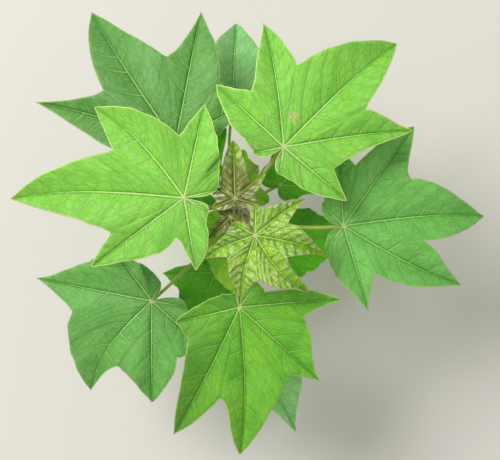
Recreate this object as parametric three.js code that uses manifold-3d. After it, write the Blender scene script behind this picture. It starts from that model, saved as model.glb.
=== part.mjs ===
// Jatropha seedling: one soft green stem that carries seventeen long-stalked leaves in a spiral, with the
// youngest on top. Millimetres, +Z up. The origin is the middle of the flat cut at ground level.
import * as THREE from "three";
import Module from "manifold-3d";

const wasm = await Module();
wasm.setup();

// Stem: radius at stations from the ground to the tip, and its gentle sway
const STEM_TOP = 300;
const STEM_STATIONS = [
  { z: 0, radius: 11.5 },
  { z: 6, radius: 9.6 },
  { z: 20, radius: 8.4 },
  { z: 60, radius: 7.8 },
  { z: 100, radius: 7.2 },
  { z: 160, radius: 6.4 },
  { z: 220, radius: 5.4 },
  { z: 265, radius: 4.5 },
  { z: 290, radius: 3.6 },
  { z: STEM_TOP, radius: 2.6 },
];
const STEM_SIDES = 16;
const STEM_STEP = 18; // between rings of the stem's skin
const STEM_SWAY = 2.2;

// Leaf cushions: the swellings on the stem that the stalks grow from
const CUSHION_PROUD = 1.1;
const CUSHION_SIDES = 8;
const CUSHION_SECTIONS = [[0, 1.7], [0.86, 1.35], [1, 1]]; // share of the way out, swelling

// Leaf stalks
const STALK_SIDES = 8;
const STALK_RINGS = 7;
const STALK_RADIUS = 2.0;
const STALK_BASE_RADIUS = 2.9;
const STALK_TAPER = 0.12; // share of its radius that a stalk loses on the way to the blade
const STALK_RISE = 1.35; // how much steeper than its straight line a stalk leaves the stem
const STEM_GAP = 0.3; // clearance between a stalk and the stem, and between the bud and the stem
const HUB_GAP = 0.4; // clearance between a stalk's end and the blade over it

// Leaf blades
const BLADE_THICKNESS_SHARE = 0.0115; // of the blade's length
const BLADE_LEAST_THICKNESS = 1.1;
const BLADE_RINGS = [0.55, 1]; // rows of points, as shares of the way from the hub to the edge
const EDGE_STEPS = 4; // along each side of a lobe
const SMALL_EDGE_STEPS = 3;
const SMALL_LENGTH = 60; // a leaf shorter than this has fewer points
const SINUS_RADIUS = 2.6; // from the hub to the bottom of the cleft over the stalk
const SINUS_HALF_ANGLE = 8; // degrees
const SINUS_REACH = 0.4;
const ROUND = 84; // spread, in degrees, of the rounded lobes beside the cleft
const TIP_REACH = 0.42; // lengths of the two handles of a lobe's side, as shares of its chord
const NOTCH_REACH = 0.24;
const NOTCH_OPEN = 46; // degrees that a notch opens on each side of the line outward from the hub
const LEAST_TURN = 0.4; // degrees between neighbouring points of an outline, seen from the hub

// The unopened bud at the tip of the stem: a pointed middle with folded leaflets round it
const BUD_PETALS = [
  { lean: 0, toward: 0, length: 15, radius: 1.7 },
  { lean: 24, toward: 20, length: 12, radius: 1.3 },
  { lean: 28, toward: 145, length: 11, radius: 1.2 },
  { lean: 30, toward: 265, length: 9, radius: 1.1 },
];
const BUD_SIDES = 6;
const BUD_SECTIONS = [[0, 1], [0.35, 1.15], [0.7, 0.7], [1, 0.2]]; // share of the length, swelling

// Each leaf, oldest first. node is the height that its stalk grows at. reach, toward and hub place the hub of
// its blade, where the veins meet: distance from the middle, direction and height. bow is how far the stalk
// swings anticlockwise of its straight line. heading is the way that the blade's own +X points, away from
// its cleft, and pitch, droop and fold shape the blade: its slope at the hub in degrees, the sag at its
// longest tip and the crease along its lobes. Directions are degrees anticlockwise from +X. A lobe is
// [angle from the heading, length, spread of its tip on the clockwise side, spread on the other side]; a
// notch is [angle, distance, opening towards the lobe before it, opening towards the lobe after it].
const LEAVES = [
  {
    name: "01",
    node: 88, reach: 48, toward: -37, bow: 2, hub: 130, heading: 6,
    pitch: 8, droop: 10, fold: 0.08,
    lobes: [[-132, 36, ROUND], [-58, 48, 70], [0, 92, 52], [58, 44, 70], [132, 34, ROUND]],
    notches: [[-92, 38, ROUND], [-36, 54, ROUND], [36, 52, ROUND], [92, 36, ROUND]],
  },
  {
    name: "02",
    node: 96, reach: 32, toward: 84, bow: -1, hub: 120, heading: 85,
    pitch: 6, droop: 5, fold: 0.1,
    lobes: [[-118, 33, ROUND], [-31, 28, 60, 50], [4, 40, 66], [48, 30, 60], [118, 28, ROUND]],
    notches: [[-72, 15, ROUND], [-6, 30, 60, 30], [26, 28], [80, 22, ROUND]],
  },
  {
    name: "03",
    node: 108, reach: 66, toward: 248, bow: -2, hub: 158, heading: 244,
    pitch: 10, droop: 9, fold: 0.1,
    lobes: [[-140, 23, ROUND], [-63, 57, 38, 34], [0, 74, 40], [62, 52, 40], [138, 23, ROUND]],
    notches: [[-96, 25, ROUND], [-38, 43], [38, 41], [96, 23, ROUND]],
  },
  {
    name: "04",
    node: 118, reach: 53, toward: 36, bow: 3, hub: 150, heading: 46,
    pitch: 8, droop: 10, fold: 0.1,
    lobes: [[-112, 18, ROUND], [-48, 68, 40], [0, 95, 38], [46, 72, 36], [108, 25, ROUND]],
    notches: [[-80, 24, ROUND], [-26, 54], [25, 54], [76, 26, ROUND]],
  },
  {
    name: "05",
    node: 160, reach: 47, toward: 147, bow: 2, hub: 205, heading: 165,
    pitch: 8, droop: 9, fold: 0.12,
    lobes: [
      [-144, 22, ROUND], [-98, 68, 29, 36], [-46, 62, 36], [0, 75, 36], [44, 60, 36], [92, 44, 36],
      [140, 24, ROUND],
    ],
    notches: [[-124, 31, ROUND], [-72, 38], [-24, 44], [22, 44], [68, 34], [116, 24, ROUND]],
  },
  {
    name: "06",
    node: 150, reach: 145, toward: -83, bow: -3, hub: 175, heading: -65,
    pitch: 12, droop: 12, fold: 0.12,
    lobes: [
      [-140, 24, ROUND], [-92, 46, 34], [-48, 70, 34], [1, 97, 25, 13], [56, 60, 38], [98, 44, 34],
      [140, 24, ROUND],
    ],
    notches: [
      [-116, 24, ROUND], [-70, 36], [-21, 50, 46, 58], [36, 54, 51, 46], [78, 34], [118, 24, ROUND],
    ],
  },
  {
    name: "07",
    node: 172, reach: 102, toward: 94, bow: 6, hub: 215, heading: 88,
    pitch: 10, droop: 12, fold: 0.12,
    lobes: [
      [-140, 22, ROUND], [-98, 46, 36], [-52, 74, 36], [0, 95, 48, 51], [52, 70, 36], [98, 44, 36],
      [140, 22, ROUND],
    ],
    notches: [
      [-118, 24, ROUND], [-74, 38], [-35, 56, 46, 39], [31, 55, 42, 46], [74, 36], [118, 24, ROUND],
    ],
  },
  {
    name: "08",
    node: 196, reach: 25, toward: 244, bow: 1, hub: 232, heading: -83,
    pitch: 12, droop: 6, fold: 0.12,
    lobes: [[-150, 30, ROUND], [-47, 32, 60, 62], [1, 61, 43, 40], [46, 27, 70], [132, 21, ROUND]],
    notches: [[-92, 20, ROUND], [-33, 38], [28, 34], [86, 18, ROUND]],
  },
  {
    name: "09",
    node: 186, reach: 122, toward: 225, bow: 2.5, hub: 233, heading: 205,
    pitch: 11, droop: 14, fold: 0.13,
    lobes: [
      [-142, 20.5, 31, 124], [-78, 58, 50], [-35, 122, 18], [30, 113, 68, -3], [64, 104, 44, 43],
      [113, 72, 37, 34], [145, 36, ROUND, 62],
    ],
    notches: [
      [-98, 40, 140, ROUND], [-58, 72, 46, 40], [-17, 81, 49, 52], [36, 77, 57, 126], [90, 61, 27, 46],
      [134, 40, ROUND],
    ],
  },
  {
    name: "10",
    node: 206, reach: 101, toward: -7, bow: -7, hub: 270, heading: 3,
    pitch: 10, droop: 15, fold: 0.13,
    lobes: [
      [-130, 29, 41, 107], [-76, 85, 30, 17], [-29, 132, 33, 17], [1, 145, 33, 31], [51, 121, 32, 41],
      [91, 75, 27, 30], [131, 30, 90, 64],
    ],
    notches: [
      [-108, 43, 98, 43], [-60, 55, 54, 26], [-13, 80, 22, 6], [31, 79, 11, 89], [76, 60, 41, 51],
      [110, 42, ROUND],
    ],
  },
  {
    name: "11",
    node: 220, reach: 89, toward: 132, bow: 2, hub: 283, heading: 123,
    pitch: 10, droop: 16, fold: 0.13,
    lobes: [
      [-140, 32, ROUND], [-93, 72, 39, 36], [-43, 132, 33, 14], [0, 158, 26, 41], [40, 146, 15, 12],
      [88, 78, 34], [138, 32, ROUND],
    ],
    notches: [
      [-115, 40, 46, 43], [-69, 71, 46, 24], [-27, 83, 59, 52], [21, 85, 22, 59], [63, 58, 27, 46],
      [114, 36, ROUND],
    ],
  },
  {
    name: "12",
    node: 234, reach: 88.9, toward: -89.4, bow: 1.5, hub: 290, heading: -89,
    pitch: 10, droop: 15, fold: 0.13,
    lobes: [
      [-159, 15, 93, 75], [-77.5, 64, 30, 26], [-28, 142, 23, 34], [-1, 147, 31, 38], [46, 107, 16, 13],
      [93, 97, 15, 32], [143, 29, 89, 79],
    ],
    notches: [
      [-125, 21, 42, 50], [-59, 57, 47, 51], [-13, 89, 34, 67], [34, 80, 55, 44], [80, 60, 30, 49],
      [121, 28, 22, 49],
    ],
  },
  {
    name: "13",
    node: 246, reach: 73, toward: 55, bow: 1, hub: 318, heading: 44,
    pitch: 7, droop: 14, fold: 0.13,
    lobes: [
      [-143, 26, 59, 86], [-84, 77, 35, 26], [-36, 124, 17, 25], [-1, 147, 35, 53], [55, 118, 46, 20],
      [93, 86, 24, 38], [147, 29, ROUND, 57],
    ],
    notches: [
      [-121, 32, 92, 32], [-69, 51, 51, 77], [-19, 83, 30, 40], [37, 76, 44, 30], [76, 59, 42, 48],
      [125, 37, 23, 91],
    ],
  },
  {
    name: "14",
    node: 258, reach: 51, toward: 165, bow: 2, hub: 322, heading: 174,
    pitch: 9, droop: 14, fold: 0.12,
    lobes: [
      [-161, 31, 25, 118], [-96, 88, 41, 26], [-39, 120, 53, 21], [6, 167, 43, 20], [42, 110, 29, 25],
      [105, 68, 25, 51], [156, 26, 89, 75],
    ],
    notches: [
      [-124, 50, 136, 42], [-79, 57, 38], [-28, 80, 25, 55], [31, 76, 58, 38], [85, 38, 15, 69],
      [136, 31, 10, 87],
    ],
  },
  {
    name: "15",
    node: 282, reach: 26, toward: -54, bow: -1, hub: 334, heading: -58,
    pitch: 6, droop: 8, fold: 0.2,
    lobes: [
      [-151, 23, 62, 97], [-97, 51, 46, 14], [-45, 56, 61, 29], [12, 73, 34, 13], [42, 66, 10, 36],
      [94, 56, 14, 33], [146, 29, 46, 42],
    ],
    notches: [
      [-129, 25, 93, 64], [-83, 32, 52, 55], [-29, 40, 40, 48], [24, 36, 65, 51], [78, 32, 25, 43],
      [137, 23, 54],
    ],
  },
  {
    name: "16",
    node: 290, reach: 13, toward: 103, bow: 0.5, hub: 320, heading: 93,
    pitch: 6, droop: 8, fold: 0.22,
    lobes: [[-107, 27, 24, 20], [-51, 40, 30, 16], [-1, 55, 44, 38], [55, 30, 30], [110, 27, 20, 24]],
    notches: [[-87, 17, 60, 50], [-43, 21, 40, 72], [51, 17, 65, 46], [93, 17, 46, 60]],
  },
  {
    name: "17",
    node: 293, reach: 8, toward: 210, bow: 0, hub: 312, heading: 223,
    pitch: 12, droop: 4, fold: 0.25,
    lobes: [[-112, 13, 30], [-70, 17, 24], [0, 31, 40], [56, 18, 40], [112, 11, 30]],
    notches: [[-92, 9, 60], [-45, 10, 60], [34, 13, 60], [84, 9, 60]],
  },
];

const { degToRad, radToDeg, clamp, mapLinear } = THREE.MathUtils;
const UP = new THREE.Vector3(0, 0, 1);
const AXIS_X = new THREE.Vector3(1, 0, 0);
const AXIS_Y = new THREE.Vector3(0, 1, 0);

function closedGeometry(points, faces) {
  const geometry = new THREE.BufferGeometry().setFromPoints(points);
  geometry.setIndex(faces);
  geometry.computeVertexNormals();
  return geometry;
}

function toSolid(geometry) {
  const vertProperties = new Float32Array(geometry.getAttribute("position").array);
  const triVerts = new Uint32Array(geometry.getIndex().array);
  return new wasm.Manifold(new wasm.Mesh({ numProp: 3, vertProperties, triVerts }));
}

function fromSolid(solid) {
  const mesh = solid.getMesh();
  const geometry = new THREE.BufferGeometry();
  geometry.setAttribute("position", new THREE.Float32BufferAttribute(mesh.vertProperties, 3));
  geometry.setIndex(Array.from(mesh.triVerts));
  geometry.computeVertexNormals();
  return geometry;
}

// A closed skin over rings of points, each ring anticlockwise seen from the last one
function loft(rings) {
  const sides = rings[0].length;
  const faces = [];
  for (let r = 0; r + 1 < rings.length; r++) {
    for (let i = 0; i < sides; i++) {
      const a = r * sides + i;
      const b = r * sides + ((i + 1) % sides);
      faces.push(a, b, b + sides, a, b + sides, a + sides);
    }
  }
  const last = (rings.length - 1) * sides;
  for (let i = 1; i + 1 < sides; i++) {
    faces.push(0, i + 1, i);
    faces.push(last, last + i, last + i + 1);
  }
  return closedGeometry(rings.flat(), faces);
}

function ringAround(centre, axisA, axisB, radius, sides) {
  return Array.from({ length: sides }, (_, i) => {
    const turn = (2 * Math.PI * i) / sides;
    const point = centre.clone().addScaledVector(axisA, radius * Math.cos(turn));
    return point.addScaledVector(axisB, radius * Math.sin(turn));
  });
}

// Stem
function stemCentre(z) {
  const share = z / STEM_TOP;
  const ease = share * share * (3 - 2 * share);
  const x = STEM_SWAY * Math.sin(2 * Math.PI * share) * ease;
  const y = STEM_SWAY * Math.sin(Math.PI * ease);
  return new THREE.Vector3(x, y, z);
}

function stemRadius(z) {
  const index = Math.max(STEM_STATIONS.findIndex((station) => station.z >= z), 1);
  const low = STEM_STATIONS[index - 1];
  const high = STEM_STATIONS[index];
  return mapLinear(z, low.z, high.z, low.radius, high.radius);
}

function stemHeights() {
  const heights = STEM_STATIONS.map((station) => station.z);
  for (let z = STEM_STEP; z < STEM_TOP; z += STEM_STEP) {
    if (heights.every((height) => Math.abs(height - z) > STEM_STEP / 4)) heights.push(z);
  }
  return heights.sort((a, b) => a - b);
}

function stemSolid(clearance) {
  const rings = stemHeights().map((z) =>
    ringAround(stemCentre(z), AXIS_X, AXIS_Y, stemRadius(z) + clearance, STEM_SIDES));
  const cushions = LEAVES.map((leaf) => cushionSolid(leaf, clearance));
  return cushions.reduce((whole, cushion) => whole.add(cushion), toSolid(loft(rings)));
}

// A short tapering swelling that stands out of the stem under one stalk
function cushionSolid(leaf, clearance) {
  const { foot, direction } = leafFoot(leaf);
  const across = UP.clone().cross(direction);
  const proud = stemRadius(leaf.node) + CUSHION_PROUD * stalkScale(leaf) + clearance;
  const wide = STALK_BASE_RADIUS * stalkScale(leaf) + clearance;
  const rings = CUSHION_SECTIONS.map(([out, swell]) => {
    const centre = foot.clone().addScaledVector(direction, proud * out);
    return ringAround(centre, across, UP, wide * swell, CUSHION_SIDES);
  });
  return toSolid(loft(rings));
}

// Leaf stalks, in the frame of their leaf: the foot at the origin, the hub out along +X
function leafLength(leaf) {
  return Math.max(...leaf.lobes.map((lobe) => lobe[1]));
}

function stalkScale(leaf) {
  return clamp(0.45 + leafLength(leaf) / 260, 0.5, 1);
}

function leafFoot(leaf) {
  const foot = stemCentre(leaf.node);
  const toward = degToRad(leaf.toward);
  const hub = new THREE.Vector3(leaf.reach * Math.cos(toward), leaf.reach * Math.sin(toward), leaf.hub);
  const direction = hub.clone().sub(foot).setZ(0);
  const span = direction.length();
  return { foot, direction: direction.normalize(), span, rise: leaf.hub - leaf.node };
}

function stalkCurve(leaf) {
  const { span, rise } = leafFoot(leaf);
  const bow = leaf.bow * 4 / 3; // a curve swings three quarters of the way to its two middle points
  return new THREE.CubicBezierCurve3(
    new THREE.Vector3(0, 0, 0),
    new THREE.Vector3(span * 0.33, bow, rise * 0.33 * STALK_RISE),
    new THREE.Vector3(span * 0.67, bow, rise * (1 - 0.33 * (2 - STALK_RISE))),
    new THREE.Vector3(span, 0, rise - bladeThickness(leaf) / 2 - HUB_GAP),
  );
}

function stalkRadius(leaf, share) {
  const foot = (STALK_BASE_RADIUS - STALK_RADIUS) * Math.exp(-7 * share);
  return stalkScale(leaf) * (STALK_RADIUS * (1 - STALK_TAPER * share) + foot);
}

function stalkGeometry(leaf, bladeTurn, stemSkin) {
  const curve = stalkCurve(leaf);
  const rings = [];
  for (let i = 0; i < STALK_RINGS; i++) {
    const share = i / STALK_RINGS;
    const across = UP.clone().cross(curve.getTangentAt(share)).normalize();
    const over = curve.getTangentAt(share).cross(across);
    rings.push(ringAround(curve.getPointAt(share), across, over, stalkRadius(leaf, share), STALK_SIDES));
  }
  // The last ring lies flat against the underside of the blade.
  const normal = new THREE.Vector3(Math.tan(degToRad(leaf.pitch)), 0, 1).normalize();
  normal.applyAxisAngle(UP, bladeTurn);
  const across = UP.clone().cross(curve.getTangentAt(1)).projectOnPlane(normal).normalize();
  const over = across.clone().cross(normal).negate();
  rings.push(ringAround(curve.getPoint(1), across, over, stalkRadius(leaf, 1), STALK_SIDES));
  return fromSolid(toSolid(loft(rings)).subtract(toSolid(stemSkin)));
}

// Leaf blades, in a frame of their own: the hub at the origin, the middle lobe along +X
function polar(angle, distance) {
  return new THREE.Vector2(distance * Math.cos(degToRad(angle)), distance * Math.sin(degToRad(angle)));
}

// One side of a lobe, from its tip to the notch beside it: 1 is the anticlockwise side, -1 the other
function lobeSide(lobe, spread, notch, arrival, side, steps) {
  const tip = polar(lobe[0], lobe[1]);
  const end = polar(notch[0], notch[1]);
  const chord = tip.distanceTo(end);
  const first = polar(lobe[0] + 180 - side * spread, chord * TIP_REACH).add(tip);
  const second = polar(arrival.angle, chord * arrival.reach).add(end);
  return new THREE.CubicBezierCurve(tip, first, second, end).getPoints(steps);
}

// The outline runs anticlockwise from the cleft over the stalk, and seen from the hub it never turns back.
function bladeOutline({ lobes, notches }, steps) {
  const cleft = 180 - SINUS_HALF_ANGLE;
  const bounds = [[-cleft, SINUS_RADIUS], ...notches, [cleft, SINUS_RADIUS]];
  const arrivalAt = (index, side) => {
    const inCleft = index === 0 || index === bounds.length - 1;
    if (inCleft) return { angle: side * cleft, reach: SINUS_REACH };
    const [angle, , before = NOTCH_OPEN, after = before] = bounds[index];
    return { angle: angle - side * (side > 0 ? before : after), reach: NOTCH_REACH };
  };
  let last = -cleft - LEAST_TURN;
  return lobes.flatMap((lobe, i) => {
    const [axis, , clockwise, other = clockwise] = lobe;
    const rising = lobeSide(lobe, clockwise, bounds[i], arrivalAt(i, -1), -1, steps).reverse();
    const falling = lobeSide(lobe, other, bounds[i + 1], arrivalAt(i + 1, 1), 1, steps);
    return [...rising.slice(i === 0 ? 0 : 1), ...falling.slice(1)].map((point) => {
      const turn = radToDeg(Math.atan2(point.y, point.x)) - axis;
      last = Math.max(axis + turn - 360 * Math.round(turn / 360), last + LEAST_TURN);
      return polar(last, point.length());
    });
  });
}

// 0 along each lobe's own line, 1 half-way between two of them
function creaseShare({ lobes }, angle) {
  const next = lobes.findIndex((lobe) => lobe[0] > angle);
  if (next < 1) return 0;
  const [before, after] = [lobes[next - 1][0], lobes[next][0]];
  return Math.sin((Math.PI * (angle - before)) / (after - before));
}

// Height of the blade's middle surface over its hub
function bladeLift(leaf, x, y) {
  const distance = Math.hypot(x, y);
  const slope = -x * Math.tan(degToRad(leaf.pitch));
  const sag = leaf.droop * (distance / leafLength(leaf)) ** 2;
  return slope - sag + leaf.fold * distance * creaseShare(leaf, radToDeg(Math.atan2(y, x)));
}

function bladeThickness(leaf) {
  const length = leafLength(leaf) + Math.max(leaf.lobes[0][1], leaf.lobes.at(-1)[1]);
  return Math.max(BLADE_LEAST_THICKNESS, length * BLADE_THICKNESS_SHARE);
}

function bladeGeometry(leaf) {
  const outline = bladeOutline(leaf, leafLength(leaf) < SMALL_LENGTH ? SMALL_EDGE_STEPS : EDGE_STEPS);
  const count = outline.length;
  const points = [];
  for (const height of [bladeThickness(leaf) / 2, -bladeThickness(leaf) / 2]) {
    points.push(new THREE.Vector3(0, 0, height));
    for (const ring of BLADE_RINGS) {
      for (const { x, y } of outline) {
        points.push(new THREE.Vector3(x * ring, y * ring, bladeLift(leaf, x * ring, y * ring) + height));
      }
    }
  }
  const under = points.length / 2;
  const faces = [];
  for (let i = 0; i < count; i++) {
    const a = 1 + i;
    const b = 1 + ((i + 1) % count);
    faces.push(0, a, b, under, under + b, under + a);
    for (let r = 1; r < BLADE_RINGS.length; r++) {
      const [p, q] = [a + (r - 1) * count, b + (r - 1) * count];
      faces.push(p, p + count, q + count, p, q + count, q);
      faces.push(under + p, under + q + count, under + p + count, under + p, under + q, under + q + count);
    }
    const [rimA, rimB] = [a, b].map((index) => index + (BLADE_RINGS.length - 1) * count);
    faces.push(rimA, under + rimA, under + rimB, rimA, under + rimB, rimB);
  }
  return closedGeometry(points, faces);
}

// Bud
function petalSolid({ lean, toward, length, radius }) {
  const out = AXIS_X.clone().applyAxisAngle(UP, degToRad(toward));
  const across = UP.clone().cross(out);
  const rings = BUD_SECTIONS.map(([share, swell]) => {
    const centre = out.clone().multiplyScalar(length * share * share * Math.sin(degToRad(lean)));
    centre.z = length * share * Math.cos(degToRad(lean));
    return ringAround(centre, out, across, radius * swell, BUD_SIDES);
  });
  return toSolid(loft(rings));
}

function budGeometry() {
  return fromSolid(BUD_PETALS.map(petalSolid).reduce((whole, petal) => whole.add(petal)));
}

function material(color, roughness) {
  return new THREE.MeshStandardMaterial({ color, roughness, metalness: 0 });
}

const stemMaterial = material(0x7c8f4e, 0.6);
const stalkMaterial = material(0x8c9440, 0.55);
const oldBladeMaterial = material(0x4f9a45, 0.5);
const bladeMaterial = material(0x74c23a, 0.5);
const youngBladeMaterial = material(0x9c9a58, 0.4);

function colourOfBlade(leaf) {
  if (leafLength(leaf) < 80 && leaf.node > 280) return youngBladeMaterial;
  return leaf.node > 230 ? bladeMaterial : oldBladeMaterial;
}

function named(name, geometry, meshMaterial) {
  const mesh = new THREE.Mesh(geometry, meshMaterial);
  mesh.name = name;
  return mesh;
}

// One leaf stands at its foot on the stem, turned so that its stalk runs out along +X.
function leafGroup(leaf, stemSkin) {
  const { foot, direction, span, rise } = leafFoot(leaf);
  const group = new THREE.Group();
  group.position.copy(foot);
  group.rotation.z = Math.atan2(direction.y, direction.x);
  group.updateMatrix();
  const bladeTurn = degToRad(leaf.heading) - group.rotation.z;
  const skin = stemSkin.clone().applyMatrix4(group.matrix.clone().invert());
  group.add(named("stalk_" + leaf.name, stalkGeometry(leaf, bladeTurn, skin), stalkMaterial));
  const blade = named("blade_" + leaf.name, bladeGeometry(leaf), colourOfBlade(leaf));
  blade.position.set(span, 0, rise);
  blade.rotation.z = bladeTurn;
  group.add(blade);
  return group;
}

const seedling = new THREE.Group();
seedling.add(named("stem", fromSolid(stemSolid(0)), stemMaterial));
const bud = named("shoot_tip", budGeometry(), youngBladeMaterial);
bud.position.copy(stemCentre(STEM_TOP)).addScaledVector(UP, STEM_GAP);
seedling.add(bud);
const stemSkin = fromSolid(stemSolid(STEM_GAP));
LEAVES.forEach((leaf) => seedling.add(leafGroup(leaf, stemSkin)));

export default seedling;
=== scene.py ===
"""Jatropha seedling: one soft green stem with seventeen long-stalked leaves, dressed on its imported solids.

Lengths in the tables are millimetres, as on a drawing, and meshes are in metres.
"""

import math

import bpy
import numpy as np
from bpy.props import FloatProperty, FloatVectorProperty, IntProperty, PointerProperty
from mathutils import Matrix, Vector


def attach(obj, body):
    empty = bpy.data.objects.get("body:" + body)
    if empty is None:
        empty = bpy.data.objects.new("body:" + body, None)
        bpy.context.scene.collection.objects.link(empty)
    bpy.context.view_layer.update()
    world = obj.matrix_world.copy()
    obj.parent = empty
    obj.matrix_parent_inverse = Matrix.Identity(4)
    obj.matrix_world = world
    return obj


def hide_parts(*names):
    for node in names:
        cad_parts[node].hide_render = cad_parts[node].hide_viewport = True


bl_info = {
    "name": "Jatropha Seedling",
    "version": (1, 0, 0),
    "blender": (4, 5, 0),
    "location": "View3D > Sidebar > Seedling",
    "description": "Builds a young jatropha plant leaf by leaf",
    "category": "Object",
}

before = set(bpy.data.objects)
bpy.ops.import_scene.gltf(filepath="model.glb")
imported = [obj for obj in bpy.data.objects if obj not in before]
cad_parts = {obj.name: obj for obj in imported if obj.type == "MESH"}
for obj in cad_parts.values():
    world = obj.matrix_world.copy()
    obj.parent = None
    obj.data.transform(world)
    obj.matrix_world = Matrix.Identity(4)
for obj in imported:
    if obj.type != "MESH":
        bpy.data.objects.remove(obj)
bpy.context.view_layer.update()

MM = 0.001
BODY = "root"

# Stage, in metres: name, place and size of each lamp, and the place that they shine at
LAMPS = (("key_light", (-1.3, 1.0, 2.5), 1.2), ("fill_light", (1.8, -1.2, 1.7), 2.2))
LIT_PLACE = (0, 0, 0.25)
FLOOR_ROUGHNESS = 0.9

# Types of the sockets of node groups
GEOMETRY = "NodeSocketGeometry"
VECTOR = "NodeSocketVector"
NUMBER = "NodeSocketFloat"
WHOLE = "NodeSocketInt"

# Stem: its height, its radius from the ground to the tip, its sway and the scars of its seed leaves
STEM_TOP = 300
STEM_STATIONS = [  # height, radius
    (0, 11.5), (2, 10.6), (6, 9.6), (20, 8.4), (60, 7.8), (100, 7.2), (160, 6.4),
    (220, 5.4), (265, 4.5), (290, 3.6), (300, 2.6),
]
STEM_SWAY = 2.2
SEED_LEAF_SCARS = [(62, 20), (62, 200)]  # height, direction
STEM_LINE_STEP = 2.0
CUSHION_DEPTH = 1.0
BUD_SUNK = 0.5

# Skin of the stem and stalks, in metres and in cells of noise a metre. The stem is cut flat where it is
# lower than FOOT_LEVEL, and its bark ends between the two heights
FOOT_LEVEL = 0.0005
BARK_HEIGHTS = (0.02, 0.16)
STEM_RIDGES = 480.0
STEM_GRAIN = 900.0
TUBE_GRAIN = 420.0

# Depths of the drawn relief of each kind of skin, in metres
BLADE_RELIEF = 0.0005
RIB_RELIEF = 0.0001
STALK_RELIEF = 0.0002
STEM_RELIEF = 0.0005
PLAIN_RELIEF = 0.0002

# Leaf stalks. The foot is sunk into the stem and flares, and the far end swells to a knob under the hub
STALK_RADIUS = 2.0
STALK_BASE_RADIUS = 2.9
STALK_TAPER = 0.12
STALK_FLARE = 7
STALK_SUNK = 1.2
STALK_RISE = 1.35
STALK_HANDLES = (0.33, 0.67)
STALK_KNOB = 0.22
STALK_KNOB_LENGTH = 4.0
STALK_END_DEPTH = 1.0
STALK_END_SHARE = 0.55
STALK_STEPS = 48
LEAST_STALK_SCALE = 0.5

# Leaf outlines: the cleft over the stalk, the two handles of a lobe's side, and the edge's small unevenness.
# ROUND is the spread or opening of a round lobe or notch, in degrees like all of these angles
SINUS_RADIUS = 2.6
SINUS_HALF_ANGLE = 8
SINUS_REACH = 0.4
ROUND = 84
TIP_REACH = 0.42
NOTCH_REACH = 0.24
NOTCH_OPEN = 46
EDGE_WOBBLE = 0.36
WOBBLE_ORDERS = (13, 19, 29, 43)
LEAST_TURN = 0.04
LEAST_SQUARE = 1e-12

# Relief of the blades: wrinkles of a young skin, waves of the edge, lift and twist of the lobes' tips, and
# the distances over which all of it sets in, from the edge, from the hub and from the cuts between lobes
PUCKER = 0.85
WAVE_ORDERS = (5, 8, 11, 15, 21)
TIP_LIFTS = (-0.07, 0.01)
TIP_TWISTS = (-0.16, 0.16)
VEIN_SWING = 2.6
SLOPE_STEP = 0.3
EDGE_FADE = (0, 3.5)
HUB_FADE = (2, 12)
CUT_FADE = (0, 3)
WAVE_FADE = (8, 40)
WOBBLE_FADE = (14, 50)
TIP_SHARES = (0.6, 1.0)
BLADE_SEED = 100

# Side veins: where they leave the main vein of a lobe, and how they run
FIRST_SIDE_VEIN = 0.27
LOW_SIDE_VEINS = (0.09, 0.18)
SIDE_VEIN_STEP = 26
YOUNG_VEIN_STEP = 9
SIDE_VEIN_COUNTS = (3, 10)
SIDE_VEIN_JITTER = 0.022
SIDE_VEIN_CROWDING = 1.55
SIDE_VEIN_LEAN = 0.6
SIDE_VEIN_CURVE = 1.7
YOUNG_VEIN_LEAN = 0.45
YOUNG_VEIN_CURVE = 1.6
RIB_LINE_PIECES = 24

# Drawn veins, in metres: softness of a main vein's edge, and how far the painted shade in the grooves beside
# the veins reaches
VEIN_SOFTNESS = 0.0003
GROOVE_NEAR = 0.0004
GROOVE_FAR = 0.0015
SIDE_GROOVE_FAR = 0.0014

# Raised ribs: how far they run, their radii at the end, how deep they lie under the blade's middle, and how
# short is too short
RIB_END = 0.955
MAIN_RIB_TIP = 0.06
SIDE_RIB_TIP = 0.04
SIDE_RIB_REACH = 0.7
SIDE_RIB_POINTS = 40
MAIN_RIB_DEPTH = 0.62
SIDE_RIB_DEPTH = 0.35
SIDE_RIB_OFFSET = 0.3
FIRST_SIDE_RIB = 0.55
RIB_MARGIN = 0.95
LEAST_RIB_POINTS = 4
SHORT_LOBE = 30

# Lengths from which a leaf is grown in its veins and in its thickness, and up to which it has fewer rays
GROWN_LENGTH = 140
THICK_LENGTH = 120
SMALL_LENGTH = 60

# Blade meshes: rings as shares of the way to the edge, where the blade thins towards it, and how much
# thicker it is at the hub
FIRST_RING = 0.012
RING_SPAN = (0.035, 0.955)
EDGE_RINGS = (0.975, 0.988, 1.0)
THIN_FROM = 0.93
THIN_WIDTH = 0.07
HUB_EXTRA = 0.6
HUB_FALL = 12
CAP_EXTRA = 1.5
LEAST_RINGS = 16
YOUNG_RINGS = 1.5

# Maps of a blade: place along and beside the lobe's line, number of the side vein and the gap between them,
# distance to the rim and share of the lobe's length, place in the blade's plane, and swelling
MAPS = ("Lobe", "Ribs", "Rim", "Plane", "Swell")

# The unopened bud: a pointed middle with folded leaflets round it
BUD_PETALS = [  # lean from upright, direction, length, radius
    (0, 0, 15, 1.7), (24, 20, 12, 1.3), (28, 145, 11, 1.2), (30, 265, 9, 1.1),
]
PETAL_PROFILE = (  # shares of the length and, for each, the share of the radius
    (0, 0.12, 0.35, 0.7, 1), (0.75, 1.0, 1.15, 0.72, 0.1),
)
PETAL_INSIDE = 0.62
PETAL_PLEAT = 0.07
PETAL_PLEATS = 5
PETAL_OUTER = (-2.2, 2.2, 13)  # first and last direction of the outer side in radians, and its points
PETAL_INNER = (1.9, -1.9, 9)  # the same for the inner side
PETAL_STEPS = 22
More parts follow.
